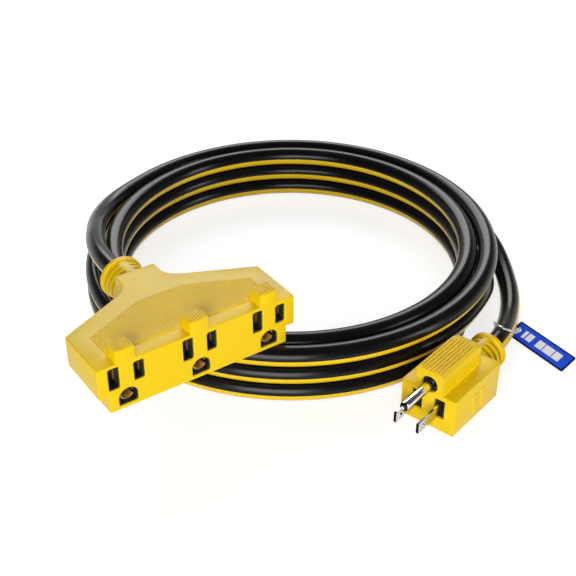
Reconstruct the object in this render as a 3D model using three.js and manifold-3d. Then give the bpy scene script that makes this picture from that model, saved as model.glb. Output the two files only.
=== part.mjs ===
// A three-outlet extension cord, coiled for storage, with its plug lying beside the coil.
//
// Units are millimetres and +Z is up. The floor is z = 0. The origin is the centre of the plug's
// underside, X runs along the face of the outlet block and Y runs from that face to its cable end.

import * as THREE from 'three';
import { mergeVertices } from 'three/addons/utils/BufferGeometryUtils.js';
import Module from 'manifold-3d';

const wasm = await Module();
wasm.setup();

// ---------------------------------------------------------------- driving dimensions

const CLEARANCE = 0.3;              // between pieces that touch on the real cord

// cable and coil
const CORD_DIAMETER = 10.7;
const TURN_PITCH = 11.3;            // between neighbouring turns, across the coil
const LAYER_PITCH = 11.2;           // between neighbouring turns, up the coil
const COIL_RADIUS = 112;            // middle of the outer column of turns
const COIL_CENTRE = [1.1, 140.4];
const COIL_LAYERS = 3;
const COIL_START = 110.4;           // degrees from +X, where the cable has come down into the coil
const COIL_TRAVEL = 1905;           // degrees that the coiled cable turns, clockwise from above
const STEPS_PER_TURN = 24;
const COIL_SIDES = 6;
const FLOOR_FLAT = CORD_DIAMETER / 10;

// outlets: spacing of the standard two-blade and ground receptacle
const OUTLET_PITCH = 38.1;
const OUTLETS = ['left', 'center', 'right'];
const BLADE_SPACING = 12.7;
const GROUND_OFFSET = 11.9;
const NEUTRAL_WINDOW = [5.6, 12.0];
const LINE_WINDOW = [5.4, 10.4];
const GROUND_WINDOW = [9.8, 8.8];
const WINDOW_RIM = 0.95;            // black rim left inside each window
const SLOT_WIDTH = 3.0;
const COLLAR_FRONT = 0.4;           // how far the inserts' collars stay behind the front face

// outlet block: heights are from the slots' middle line, depths from the front face
const BLOCK_PLACE = [-110, 53.2];
const BLOCK_HALF_WIDTH = 52.6;
const BLOCK_SIDE_DEPTH = 31.7;
const BLOCK_TOP = 7.6;
const BLOCK_BOTTOM = -8.9;
const SHOULDER = [18.5, 47.4];
const NECK_HALF_WIDTH = 11;
const NECK_START = 57;
const NECK_LENGTH = 63.5;
const NECK_DROP = 5.4;              // the cable's line, below the slots' middle line
const FOOT_BOTTOM = -18.25;
const FOOT_HALF_WIDTH = 47.9;
const FOOT_DEPTH = 31;
const FOOT_SLOPE = 4;
const FRONT_WALL = 1.6;
const TAB_WIDTH = 10;
const TAB_DEPTH = 9.2;
const TAB_TOP = 14.6;
const FIELD_RISE = 1;
const FIELD_HALF_WIDTH = 43.4;
const FIELD_SIDE_DEPTH = 24.2;
const FIELD_BACK = [12.4, 38.4];
const LEDGE_DEPTH = 8;

// what is inside the block
const CARRIER_DEPTH = 20;
const CARRIER_TOP = 6;
const CARRIER_HALF_WIDTH = 11.5;
const CARRIER_FOOT_HALF_WIDTH = 7.2;
const CARRIER_STEP = -8.2;          // level where the carrier narrows
const CARRIER_BOTTOM = -17.1;
const STRAP_THICKNESS = 0.8;
const STRAP_HEIGHT = 4;
const CLIP_THICKNESS = 0.6;
const CLIP_LENGTH = 13.6;
const CLIP_HEIGHT = 6;
const CLIP_INSET = 3.1;             // from the carrier's face to the clip's mouth
const BLADE_GAP = 1.4;
const PIN_GAP = 4.7;
const CHANNEL_HALF_WIDTH = 6.2;
const CHANNEL_DEPTH = 52;
const CHANNEL_FLOOR = -7.6;
const WIRE_DIAMETER = 2.4;

// strain reliefs
const BLOCK_RELIEF = { length: 16.9, barrel: 10.7, flange: 11.6, flangeLength: 2.6 };
const PLUG_RELIEF = { length: 15.6, barrel: 9.2, flange: 10.1, flangeLength: 2.6 };
const RELIEF_ROWS = 3;
const RELIEF_ROW_PITCH = 3.7;
const RELIEF_SLOT_WIDTH = 1.3;
const RELIEF_SLOT_DEPTH = 1.7;
const RELIEF_BORE = 4.2;
const RELIEF_BORE_DEPTH = 7.5;

// plug: heights are from its underside, depths from its front face
const PLUG_TURN = -74.12;           // degrees that the plug is turned on the floor
const PLUG_LENGTH = 41.2;
const PLUG_HALF_WIDTH = 15.4;
const PLUG_SHOULDER = 21.4;
const PLUG_TOP = 33.3;
const CREST_HALF_WIDTH = 7.65;
const CREST_LENGTH = 30;
const CREST_CORNER = 5;             // rounding of the crest's rear end, seen from above
const CREST_END = 38;
const BLADE_LEVEL = 13.2;
const BLADE_LENGTH = 18.6;
const BLADE_HEIGHT = 6.35;
const BLADE_THICKNESS = 1.5;
const BLADE_HOLE = 1.55;
const BLADE_HOLE_INSET = 4.6;
const BLADE_ROOT = 22.5;
const BLADE_WINDOW = [5.8, 10.8];
const PIN_RADIUS = 2.4;
const PIN_LENGTH = 22.4;
const PIN_ROOT = 22.5;
const PIN_WINDOW = 4.4;
const PLUG_RELIEF_LEVEL = 12.6;
const CORE_INSET = 1.8;
const CORE_DEPTH = 20;
const CORE_HALF_WIDTH = 10;
const CORE_CREST_HALF_WIDTH = 5.6;
const CORE_BOTTOM = 6.7;
const CORE_STEP = 19.4;
const CORE_TOP = 31;
const GRIP_HEIGHT = 10.5;
const GRIP_RISE = 0.6;
const GRIP_BARS = [[16, 4.4], [23.4, 3.6]];
const TOP_RIBS = 8;
const TOP_RIB_RISE = 0.5;

// tag and its wire loop
const TAG_LENGTH = 40;
const TAG_WIDTH = 11;
const TAG_THICKNESS = 0.8;
const TAG_CORNER = 1;
const TAG_HOLE = 1.7;
const TAG_HOLE_INSET = 3;
const TAG_TILT = 24;
const TAG_HOLE_PLACE = [69.4, 22.2, 3.05];
const LOOP_WIRE = 1.0;

// ---------------------------------------------------------------- routes

// The cable from the block's strain relief down into the coil.
const LEAD_ROUTE = [
  [-110, 134.2, 45.18],
  [-110, 140, 45.15],
  [-109.4, 150, 44.6],
  [-107.8, 160, 43.6],
  [-104.8, 171, 41.8],
  [-100.6, 182, 39.7],
  [-95.6, 192.2, 37.3],
  [-88.5, 205.4, 34],
  [-79.7, 217.6, 31.1],
  [-69.4, 228.5, 28.5],
  [-61.6, 234.7, 27.3],
  [-55.1, 238.5, 26.8],
  [-48.25, 241.55, 26.68],
];

// The cable from the coil, off its outside, along the floor and up into the plug.
const TAIL_ROUTE = [
  [113.64, 139.99, 15.48],
  [113.95, 135, 15.45],
  [114.3, 124, 15.2],
  [114, 109.9, 14.2],
  [112.4, 96.2, 12.3],
  [108.4, 82.8, 9.6],
  [102.6, 70.6, 7.2],
  [96, 59.7, 5.95],
  [89, 50, 5.55],
  [81.5, 41.5, 5.65],
  [73.3, 33.7, 6.4],
  [64.6, 26.5, 7.9],
  [55.3, 19.8, 10],
  [47, 14.7, 11.7],
  [40.6, 11.8, 12.5],
  [35.39, 10.07, 12.6],
];

// The wire loop, once round the cable and through the tag's hole.
const LOOP_ROUTE = [
  [53.3, 25.2, 13.4],
  [56.2, 28.1, 9.6],
  [58.6, 29.6, 6],
  [61, 29.6, 3.2],
  [64.3, 28, 1.4],
  [67.5, 28.3, 1.15],
  [69.9, 26.7, 1.1],
  [70.1, 24.5, 1.15],
  [69.8, 23, 1.8],
  [69.4, 22.2, 3.05],
  [69, 21.4, 4.2],
  [68.3, 20.5, 6],
  [65, 18, 7.6],
  [61, 15.6, 9.2],
  [57.6, 13.8, 11.5],
  [54.6, 12.8, 14.1],
  [52, 12.5, 15.95],
  [50, 13, 17.15],
  [48.3, 15, 17.95],
  [48.6, 18.4, 17.25],
  [50.6, 22, 15.6],
];

// ---------------------------------------------------------------- solids

const degrees = THREE.MathUtils.degToRad;

// A closed geometry as a solid that can be joined and cut.
function solid(geometry) {
  geometry.deleteAttribute('normal');
  geometry.deleteAttribute('uv');
  const merged = mergeVertices(geometry, 1e-4);
  return new wasm.Manifold(new wasm.Mesh({
    numProp: 3,
    vertProperties: merged.attributes.position.array,
    triVerts: merged.index.array,
  }));
}

function geometryOf(body) {
  const mesh = body.getMesh();
  const geometry = new THREE.BufferGeometry();
  geometry.setAttribute('position', new THREE.BufferAttribute(mesh.vertProperties, 3));
  geometry.setIndex(new THREE.BufferAttribute(mesh.triVerts, 1));
  geometry.computeVertexNormals();
  return geometry;
}

function join(...bodies) {
  return bodies.reduce((whole, body) => whole.add(body));
}

function cut(body, ...tools) {
  return tools.reduce((rest, tool) => rest.subtract(tool), body);
}

function box([x0, x1], [y0, y1], [z0, z1]) {
  const geometry = new THREE.BoxGeometry(x1 - x0, y1 - y0, z1 - z0);
  geometry.translate((x0 + x1) / 2, (y0 + y1) / 2, (z0 + z1) / 2);
  return solid(geometry);
}

// A shape drawn in X and Y, raised from z0 to z1.
function raised(shape, z0, z1, curveSegments = 8) {
  const options = { depth: z1 - z0, bevelEnabled: false, curveSegments };
  const geometry = new THREE.ExtrudeGeometry(shape, options);
  geometry.translate(0, 0, z0);
  return solid(geometry);
}

// A shape drawn in X and Z, run along Y from y0 to y1.
function alongY(shape, y0, y1, curveSegments = 8) {
  const options = { depth: y1 - y0, bevelEnabled: false, curveSegments };
  const geometry = new THREE.ExtrudeGeometry(shape, options);
  geometry.rotateX(Math.PI / 2);
  geometry.translate(0, y1, 0);
  return solid(geometry);
}

// A shape drawn in Y and Z, run along X from x0 to x1.
function alongX(shape, x0, x1, curveSegments = 8) {
  const options = { depth: x1 - x0, bevelEnabled: false, curveSegments };
  const geometry = new THREE.ExtrudeGeometry(shape, options);
  const x = new THREE.Vector3(1, 0, 0);
  const y = new THREE.Vector3(0, 1, 0);
  const z = new THREE.Vector3(0, 0, 1);
  geometry.applyMatrix4(new THREE.Matrix4().makeBasis(y, z, x));
  geometry.translate(x0, 0, 0);
  return solid(geometry);
}

function cylinderAlongY(radius, y0, y1, x, z, sides = 24) {
  const geometry = new THREE.CylinderGeometry(radius, radius, y1 - y0, sides);
  geometry.translate(x, (y0 + y1) / 2, z);
  return solid(geometry);
}

function outline(points) {
  return new THREE.Shape(points.map(([a, b]) => new THREE.Vector2(a, b)));
}

function rectangle(width, height, x = 0, y = 0) {
  const right = x + width / 2;
  const left = x - width / 2;
  const top = y + height / 2;
  const bottom = y - height / 2;
  return outline([[left, bottom], [right, bottom], [right, top], [left, top]]);
}

// The ground hole's form: flat below, round above.
function domed(width, height, x, y) {
  const radius = width / 2;
  const bottom = y - height / 2;
  const shape = new THREE.Shape();
  shape.moveTo(x - radius, bottom);
  shape.lineTo(x + radius, bottom);
  shape.lineTo(x + radius, y + height / 2 - radius);
  shape.absarc(x, y + height / 2 - radius, radius, 0, Math.PI, false);
  shape.closePath();
  return shape;
}

// ---------------------------------------------------------------- tubes

function curveThrough(points, closed = false) {
  const places = points.map(([x, y, z]) => new THREE.Vector3(x, y, z));
  return new THREE.CatmullRomCurve3(places, closed, 'centripetal');
}

// A round tube along an open curve, with its ends square to the curve.
function tube(points, diameter, sides, diametersPerStep) {
  const path = curveThrough(points);
  const steps = Math.ceil(path.getLength() / (diametersPerStep * diameter));
  const section = new THREE.Shape();
  for (let side = 0; side < sides; side += 1) {
    const angle = (2 * Math.PI * side) / sides;
    const x = (Math.cos(angle) * diameter) / 2;
    const y = (Math.sin(angle) * diameter) / 2;
    if (side === 0) section.moveTo(x, y);
    else section.lineTo(x, y);
  }
  section.closePath();
  return new THREE.ExtrudeGeometry(section, { extrudePath: path, steps, bevelEnabled: false });
}

// Rings of points joined into one closed surface, with caps or with the last ring on the first.
function skin(rings, closed) {
  const sides = rings[0].length;
  const positions = rings.flat().flatMap((point) => point.toArray());
  const faces = [];
  const bands = closed ? rings.length : rings.length - 1;
  for (let band = 0; band < bands; band += 1) {
    const here = band * sides;
    const next = ((band + 1) % rings.length) * sides;
    for (let side = 0; side < sides; side += 1) {
      const beside = (side + 1) % sides;
      faces.push(here + side, here + beside, next + side);
      faces.push(here + beside, next + beside, next + side);
    }
  }
  if (!closed) {
    const last = (rings.length - 1) * sides;
    for (let side = 1; side < sides - 1; side += 1) {
      faces.push(0, side + 1, side);
      faces.push(last, last + side, last + side + 1);
    }
  }
  const geometry = new THREE.BufferGeometry();
  geometry.setAttribute('position', new THREE.Float32BufferAttribute(positions, 3));
  geometry.setIndex(faces);
  return geometry;
}

// A ring of points round a centre, in the plane of two directions across the tube.
function ring(centre, across, up, radius, sides) {
  const points = [];
  for (let side = 0; side < sides; side += 1) {
    const angle = (2 * Math.PI * side) / sides - Math.PI / 2;
    const point = centre.clone();
    point.addScaledVector(across, Math.cos(angle) * radius);
    point.addScaledVector(up, Math.sin(angle) * radius);
    points.push(point);
  }
  return points;
}

// ---------------------------------------------------------------- coil

const FLOOR_LAYER = CORD_DIAMETER / 2 - FLOOR_FLAT;
const TOP_LAYER = COIL_LAYERS - 1;
const COIL_TOP = FLOOR_LAYER + TOP_LAYER * LAYER_PITCH + CORD_DIAMETER / 2;

// Where the cable changes its place in the pile, in degrees travelled. It starts in the top layer's
// outer column: it moves in by a column, goes down two layers inside, out again at the floor, and up
// one layer outside, so that it never crosses itself.
const MOVES = [
  { from: 258, over: 35, inwards: 1, upwards: 0 },
  { from: 597, over: 33, inwards: 0, upwards: -1 },
  { from: 920, over: 35, inwards: 0, upwards: -1 },
  { from: 1240, over: 35, inwards: -1, upwards: 0 },
  { from: 1585, over: 30, inwards: 0, upwards: 1 },
];

function eased(travel, { from, over }) {
  const part = THREE.MathUtils.clamp((travel - from) / over, 0, 1);
  return (1 - Math.cos(Math.PI * part)) / 2;
}

function coilPoint(travel) {
  let column = 0;
  let layer = TOP_LAYER;
  for (const move of MOVES) {
    column += move.inwards * eased(travel, move);
    layer += move.upwards * eased(travel, move);
  }
  const angle = degrees(COIL_START - travel);
  const radius = COIL_RADIUS - column * TURN_PITCH;
  const x = COIL_CENTRE[0] + radius * Math.cos(angle);
  const y = COIL_CENTRE[1] + radius * Math.sin(angle);
  return new THREE.Vector3(x, y, FLOOR_LAYER + layer * LAYER_PITCH);
}

function coilDirection(travel) {
  const step = 0.05;
  return coilPoint(travel + step).sub(coilPoint(travel - step)).normalize();
}

// Centres and directions along the coil, with a straight diameter before and after it.
function coilStations() {
  const count = Math.round((COIL_TRAVEL / 360) * STEPS_PER_TURN);
  const stations = [];
  for (let index = 0; index <= count; index += 1) {
    const travel = (COIL_TRAVEL * index) / count;
    stations.push({ centre: coilPoint(travel), along: coilDirection(travel) });
  }
  const first = stations[0];
  const last = stations[count];
  const before = first.centre.clone().addScaledVector(first.along, -CORD_DIAMETER);
  const after = last.centre.clone().addScaledVector(last.along, CORD_DIAMETER);
  stations.unshift({ centre: before, along: first.along });
  stations.push({ centre: after, along: last.along });
  return stations;
}

// The least space between two stretches of the coil that lie beside or on each other.
function coilGap(stations) {
  const skipped = STEPS_PER_TURN / 2;
  let least = Infinity;
  for (let one = 0; one < stations.length; one += 1) {
    for (let other = one + skipped; other < stations.length - 1; other += 1) {
      const piece = new THREE.Line3(stations[other].centre, stations[other + 1].centre);
      const nearest = piece.closestPointToPoint(stations[one].centre, true, new THREE.Vector3());
      least = Math.min(least, nearest.distanceTo(stations[one].centre));
    }
  }
  return least - CORD_DIAMETER;
}

function coilLength(stations) {
  let length = 0;
  for (let index = 1; index < stations.length; index += 1) {
    length += stations[index].centre.distanceTo(stations[index - 1].centre);
  }
  return length;
}

function coilSolid() {
  const stations = coilStations();
  const rings = stations.map(({ centre, along }) => {
    const across = new THREE.Vector3(-along.y, along.x, 0).normalize();
    const up = new THREE.Vector3().crossVectors(along, across);
    return ring(centre, across, up, CORD_DIAMETER / 2, COIL_SIDES);
  });
  const reach = COIL_RADIUS + CORD_DIAMETER;
  const [x, y] = COIL_CENTRE;
  const floor = box([x - reach, x + reach], [y - reach, y + reach], [-CORD_DIAMETER, 0]);
  console.log(`coil: least gap to itself ${coilGap(stations).toFixed(2)} mm`);
  console.log(`coil: length ${(coilLength(stations) / 1000).toFixed(3)} m`);
  return cut(solid(skin(rings, false)), floor);
}

// ---------------------------------------------------------------- strain relief

// A slot of part of a turn round the relief's barrel. Angles are from the top, either way round.
function reliefSlot(size, from, to, y) {
  const outer = size.flange + 1;
  const inner = size.barrel - RELIEF_SLOT_DEPTH;
  const shape = new THREE.Shape();
  shape.absarc(0, 0, outer, degrees(90 - from), degrees(90 - to), true);
  shape.absarc(0, 0, inner, degrees(90 - to), degrees(90 - from), false);
  shape.closePath();
  return alongY(shape, y, y + RELIEF_SLOT_WIDTH, 9);
}

// Slotted barrel with a flange at its free end, about the Y axis from y = 0.
function strainRelief(size) {
  const barrel = cylinderAlongY(size.barrel, 0, size.length, 0, 0, 32);
  const flange = cylinderAlongY(size.flange, size.length - size.flangeLength, size.length, 0, 0, 32);
  const bore = cylinderAlongY(RELIEF_BORE, -1, RELIEF_BORE_DEPTH, 0, 0, 16);
  const slots = [];
  const lastRow = size.length - size.flangeLength - 2 * RELIEF_SLOT_WIDTH;
  for (let row = 0; row < RELIEF_ROWS; row += 1) {
    const y = lastRow - row * RELIEF_ROW_PITCH;
    slots.push(reliefSlot(size, 14, 104, y));
    slots.push(reliefSlot(size, -104, -14, y));
    slots.push(reliefSlot(size, 124, 236, y));
  }
  return cut(join(barrel, flange), bore, ...slots);
}

// ---------------------------------------------------------------- outlet block

const OUTLET_PLACES = OUTLETS.map((_, index) => (index - (OUTLETS.length - 1) / 2) * OUTLET_PITCH);
const SLOT_X = BLADE_SPACING / 2;
const CARRIER_FRONT = FRONT_WALL + CLEARANCE;
const CARRIER_BACK = CARRIER_FRONT + CARRIER_DEPTH;
const STRAP_FRONT = CARRIER_BACK + CLEARANCE;
const STRAP_BACK = STRAP_FRONT + STRAP_THICKNESS;
const POCKET_BACK = STRAP_BACK + CLEARANCE;

function blockOutline() {
  const shape = new THREE.Shape();
  shape.moveTo(-BLOCK_HALF_WIDTH, 0);
  shape.lineTo(BLOCK_HALF_WIDTH, 0);
  shape.lineTo(BLOCK_HALF_WIDTH, BLOCK_SIDE_DEPTH);
  shape.lineTo(SHOULDER[0], SHOULDER[1]);
  shape.quadraticCurveTo(NECK_HALF_WIDTH, SHOULDER[1] + 3.6, NECK_HALF_WIDTH, NECK_START);
  shape.lineTo(NECK_HALF_WIDTH, NECK_LENGTH);
  shape.lineTo(-NECK_HALF_WIDTH, NECK_LENGTH);
  shape.lineTo(-NECK_HALF_WIDTH, NECK_START);
  shape.quadraticCurveTo(-NECK_HALF_WIDTH, SHOULDER[1] + 3.6, -SHOULDER[0], SHOULDER[1]);
  shape.lineTo(-BLOCK_HALF_WIDTH, BLOCK_SIDE_DEPTH);
  shape.closePath();
  return shape;
}

function blockOutside() {
  const body = raised(blockOutline(), BLOCK_BOTTOM, BLOCK_TOP, 6);
  const neckFrom = SHOULDER[1] - NECK_HALF_WIDTH;
  const neck = cylinderAlongY(NECK_HALF_WIDTH, neckFrom, NECK_LENGTH, 0, -NECK_DROP, 32);
  const footSide = outline([
    [0, FOOT_BOTTOM], [FOOT_DEPTH, FOOT_BOTTOM],
    [FOOT_DEPTH + FOOT_SLOPE, BLOCK_BOTTOM + 1], [0, BLOCK_BOTTOM + 1],
  ]);
  const foot = alongX(footSide, -FOOT_HALF_WIDTH, FOOT_HALF_WIDTH);
  const field = outline([
    [-FIELD_HALF_WIDTH, LEDGE_DEPTH], [FIELD_HALF_WIDTH, LEDGE_DEPTH],
    [FIELD_HALF_WIDTH, FIELD_SIDE_DEPTH], [FIELD_BACK[0], FIELD_BACK[1]],
    [-FIELD_BACK[0], FIELD_BACK[1]], [-FIELD_HALF_WIDTH, FIELD_SIDE_DEPTH],
  ]);
  const pad = raised(field, BLOCK_TOP - 1, BLOCK_TOP + FIELD_RISE);
  const tabs = OUTLET_PLACES.map((x) => {
    const half = TAB_WIDTH / 2;
    return box([x - half, x + half], [0, TAB_DEPTH], [BLOCK_TOP - 1, TAB_TOP]);
  });
  return join(body, neck, foot, pad, ...tabs);
}

function carrierOutline(x, spare) {
  const wide = CARRIER_HALF_WIDTH + spare;
  const narrow = CARRIER_FOOT_HALF_WIDTH + spare;
  return outline([
    [x - narrow, CARRIER_BOTTOM - spare], [x + narrow, CARRIER_BOTTOM - spare],
    [x + narrow, CARRIER_STEP - spare], [x + wide, CARRIER_STEP - spare],
    [x + wide, CARRIER_TOP + spare], [x - wide, CARRIER_TOP + spare],
    [x - wide, CARRIER_STEP - spare], [x - narrow, CARRIER_STEP - spare],
  ]);
}

function blockShell() {
  const windows = OUTLET_PLACES.flatMap((x) => {
    const depth = CARRIER_FRONT + 1;
    const [neutralWidth, neutralHeight] = NEUTRAL_WINDOW;
    const [lineWidth, lineHeight] = LINE_WINDOW;
    const [groundWidth, groundHeight] = GROUND_WINDOW;
    return [
      alongY(rectangle(neutralWidth, neutralHeight, x - SLOT_X), -1, depth),
      alongY(rectangle(lineWidth, lineHeight, x + SLOT_X), -1, depth),
      alongY(domed(groundWidth, groundHeight, x, -GROUND_OFFSET), -1, depth),
    ];
  });
  const pockets = OUTLET_PLACES.map((x) => {
    return alongY(carrierOutline(x, CLEARANCE), FRONT_WALL, CARRIER_BACK + CLEARANCE);
  });
  const reach = OUTLET_PLACES.at(-1) + SLOT_X + STRAP_HEIGHT;
  const strapRoom = [-GROUND_OFFSET - STRAP_HEIGHT, CARRIER_TOP];
  const straps = box([-reach, reach], [CARRIER_BACK, POCKET_BACK], strapRoom);
  const sides = [-CHANNEL_HALF_WIDTH, CHANNEL_HALF_WIDTH];
  const channel = box(sides, [POCKET_BACK - 1, CHANNEL_DEPTH], [CHANNEL_FLOOR, CARRIER_TOP - 1]);
  const groundRoom = join(
    box(sides, [POCKET_BACK - 1, FOOT_DEPTH - 1], strapRoom),
    box(sides, [POCKET_BACK - 1, FOOT_DEPTH + 1], [BLOCK_BOTTOM - 1.6, CHANNEL_FLOOR + 1]),
  );
  const outlet = cylinderAlongY(RELIEF_BORE, CHANNEL_DEPTH - 2, NECK_LENGTH + 1, 0, -NECK_DROP, 16);
  return cut(blockOutside(), ...windows, ...pockets, straps, channel, groundRoom, outlet);
}

// The black insert of one outlet, with its three ways in and the rooms for its clips.
function outletCarrier(x) {
  const mouth = CARRIER_FRONT + CLIP_INSET - CLEARANCE;
  const block = alongY(carrierOutline(x, 0), CARRIER_FRONT, CARRIER_BACK);
  const collars = [];
  const tools = [];
  const clipRoom = BLADE_GAP + 2 * CLIP_THICKNESS + 2 * CLEARANCE;
  for (const [side, [width, height]] of [[-1, NEUTRAL_WINDOW], [1, LINE_WINDOW]]) {
    const middle = x + side * SLOT_X;
    const collar = rectangle(width - 2 * CLEARANCE, height - 2 * CLEARANCE, middle);
    collars.push(alongY(collar, COLLAR_FRONT, CARRIER_FRONT + 1));
    const slot = rectangle(SLOT_WIDTH, height - 2 * WINDOW_RIM, middle);
    tools.push(alongY(slot, COLLAR_FRONT - 1, mouth + 1));
    const room = rectangle(clipRoom, CLIP_HEIGHT + 2 * CLEARANCE, middle);
    tools.push(alongY(room, mouth, CARRIER_BACK + 1));
  }
  const collarSize = GROUND_WINDOW.map((size) => size - 2 * CLEARANCE);
  const holeSize = GROUND_WINDOW.map((size) => size - 2 * WINDOW_RIM);
  collars.push(alongY(domed(...collarSize, x, -GROUND_OFFSET), COLLAR_FRONT, CARRIER_FRONT + 1));
  tools.push(alongY(domed(...holeSize, x, -GROUND_OFFSET), COLLAR_FRONT - 1, mouth + 1));
  const pinRoom = PIN_GAP + 2 * CLIP_THICKNESS + 2 * CLEARANCE;
  const room = rectangle(pinRoom, CLIP_HEIGHT + 2 * CLEARANCE, x, -GROUND_OFFSET);
  tools.push(alongY(room, mouth, CARRIER_BACK + 1));
  return cut(join(block, ...collars), ...tools);
}

// A folded brass clip: two leaves, a web behind them and a tail that reaches its strap.
function contactClip(x, z, gap, tailZ) {
  const front = CARRIER_FRONT + CLIP_INSET;
  const back = front + CLIP_LENGTH;
  const outside = gap / 2 + CLIP_THICKNESS;
  const heights = [z - CLIP_HEIGHT / 2, z + CLIP_HEIGHT / 2];
  const leaves = cut(
    box([x - outside, x + outside], [front, back], heights),
    box([x - gap / 2, x + gap / 2], [front - 1, back - CLIP_THICKNESS], [heights[0] - 1, heights[1] + 1]),
  );
  const tail = box([x - outside, x + outside], [back - CLIP_THICKNESS, CARRIER_BACK], tailZ);
  return join(leaves, tail);
}

// Where each line's strap lies, and how far along the block it reaches.
const STRAPS = {
  neutral: { x: -SLOT_X, z: STRAP_HEIGHT / 2 + 0.4, clipZ: 0, gap: BLADE_GAP },
  line: { x: SLOT_X, z: -STRAP_HEIGHT / 2 - 0.4, clipZ: 0, gap: BLADE_GAP },
  ground: { x: 0, z: -GROUND_OFFSET, clipZ: -GROUND_OFFSET, gap: PIN_GAP },
};

function tailRange({ z, clipZ }) {
  const reach = 1;
  const middle = THREE.MathUtils.clamp(z, clipZ - CLIP_HEIGHT / 2 + reach, clipZ + CLIP_HEIGHT / 2 - reach);
  return [middle - reach, middle + reach];
}

function busStrap({ x, z }) {
  const reach = OUTLET_PLACES.at(-1) + STRAP_HEIGHT / 2;
  const heights = [z - STRAP_HEIGHT / 2, z + STRAP_HEIGHT / 2];
  return box([x - reach, x + reach], [STRAP_FRONT, STRAP_BACK], heights);
}

// The conductors, each from behind its strap into the strain relief's bore.
const BLOCK_WIRES = {
  white: [[-3.6, 23.4, 2.4], [-3.6, 27, 2.4], [-3.6, 36, -1.8], [-3.2, 43, -6], [-1.9, 50.5, -6]],
  black: [[3.6, 23.4, -2.4], [3.6, 27, -2.4], [3.6, 36, -4.2], [3.2, 43, -6], [1.9, 50.5, -6]],
  green: [
    [0, 23.4, -11.4], [0, 24.6, -11.4], [0, 27.2, -8.8], [0, 30.4, -5.2], [0, 36, -3.8], [0, 50.5, -3.6],
  ],
};

function blockWire(route) {
  const [x, , z] = route.at(-1);
  const end = [x, NECK_LENGTH + RELIEF_BORE_DEPTH, z];
  return tube([...route, end], WIRE_DIAMETER, 8, 1);
}

// ---------------------------------------------------------------- plug

const PLUG_FRONT = -PLUG_LENGTH / 2;
const CORE_FRONT = PLUG_FRONT + CORE_INSET;
const CORE_BACK = CORE_FRONT + CORE_DEPTH;
const PIN_LEVEL = BLADE_LEVEL + GROUND_OFFSET;

// Half of the plug's section, with a crest whose sides swell out a little above the shoulder.
function plugSection() {
  const half = [
    [PLUG_HALF_WIDTH, 0],
    [PLUG_HALF_WIDTH, PLUG_SHOULDER],
    [CREST_HALF_WIDTH + 1.2, PLUG_SHOULDER],
    [CREST_HALF_WIDTH, PLUG_SHOULDER + 1.6],
    [CREST_HALF_WIDTH, PLUG_TOP - 1.8],
    [CREST_HALF_WIDTH - 0.6, PLUG_TOP - 0.5],
    [CREST_HALF_WIDTH - 1.8, PLUG_TOP],
  ];
  const mirrored = half.map(([x, z]) => [-x, z]).reverse();
  return outline([...half, ...mirrored]);
}

// What is taken off one rear corner of the crest to round it.
function crestCorner(side) {
  const end = PLUG_FRONT + CREST_END;
  const outer = PLUG_HALF_WIDTH + 1;
  const inner = CREST_HALF_WIDTH + 1.2 - CREST_CORNER;
  const shape = new THREE.Shape();
  shape.moveTo(side * outer, end - CREST_CORNER);
  shape.lineTo(side * (inner + CREST_CORNER), end - CREST_CORNER);
  shape.quadraticCurveTo(side * (inner + CREST_CORNER), end, side * inner, end);
  shape.lineTo(0, end);
  shape.lineTo(0, -PLUG_FRONT + 1);
  shape.lineTo(side * outer, -PLUG_FRONT + 1);
  shape.closePath();
  return raised(shape, PLUG_SHOULDER, PLUG_TOP + 2, 6);
}

function plugOutside() {
  const body = alongY(plugSection(), PLUG_FRONT, -PLUG_FRONT);
  const crestEnd = PLUG_FRONT + CREST_LENGTH;
  const slope = new THREE.Shape();
  slope.moveTo(crestEnd, PLUG_TOP + 1);
  slope.quadraticCurveTo(crestEnd + 1, PLUG_TOP, crestEnd + 2.5, PLUG_TOP - 1);
  slope.quadraticCurveTo(-PLUG_FRONT - 3, PLUG_TOP - 6, -PLUG_FRONT - 0.5, PLUG_SHOULDER);
  slope.lineTo(-PLUG_FRONT + 1, PLUG_SHOULDER);
  slope.lineTo(-PLUG_FRONT + 1, PLUG_TOP + 1);
  slope.closePath();
  const away = alongX(slope, -PLUG_HALF_WIDTH, PLUG_HALF_WIDTH, 5);
  const corners = [-1, 1].map((side) => crestCorner(side));
  const ribs = [];
  const ribRoom = (2 * (CREST_HALF_WIDTH - 1.8)) / TOP_RIBS;
  for (let rib = 0; rib < TOP_RIBS; rib += 1) {
    const x = (rib + 0.5) * ribRoom - (CREST_HALF_WIDTH - 1.8);
    const sides = [x - ribRoom / 4, x + ribRoom / 4];
    ribs.push(box(sides, [PLUG_FRONT + 0.8, crestEnd], [PLUG_TOP - 0.5, PLUG_TOP + TOP_RIB_RISE]));
  }
  const grips = GRIP_BARS.flatMap(([start, width]) => {
    const depths = [PLUG_FRONT + start, PLUG_FRONT + start + width];
    const middle = PLUG_SHOULDER / 2 - 0.6;
    const heights = [middle - GRIP_HEIGHT / 2, middle + GRIP_HEIGHT / 2];
    const outer = PLUG_HALF_WIDTH + GRIP_RISE;
    return [
      box([PLUG_HALF_WIDTH - 1, outer], depths, heights),
      box([-outer, -PLUG_HALF_WIDTH + 1], depths, heights),
    ];
  });
  return join(cut(body, away, ...corners), ...ribs, ...grips);
}

function coreOutline(spare) {
  const wide = CORE_HALF_WIDTH + spare;
  const narrow = CORE_CREST_HALF_WIDTH + spare;
  return outline([
    [-wide, CORE_BOTTOM - spare], [wide, CORE_BOTTOM - spare], [wide, CORE_STEP + spare],
    [narrow, CORE_STEP + spare], [narrow, CORE_TOP + spare], [-narrow, CORE_TOP + spare],
    [-narrow, CORE_STEP + spare], [-wide, CORE_STEP + spare],
  ]);
}

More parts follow.
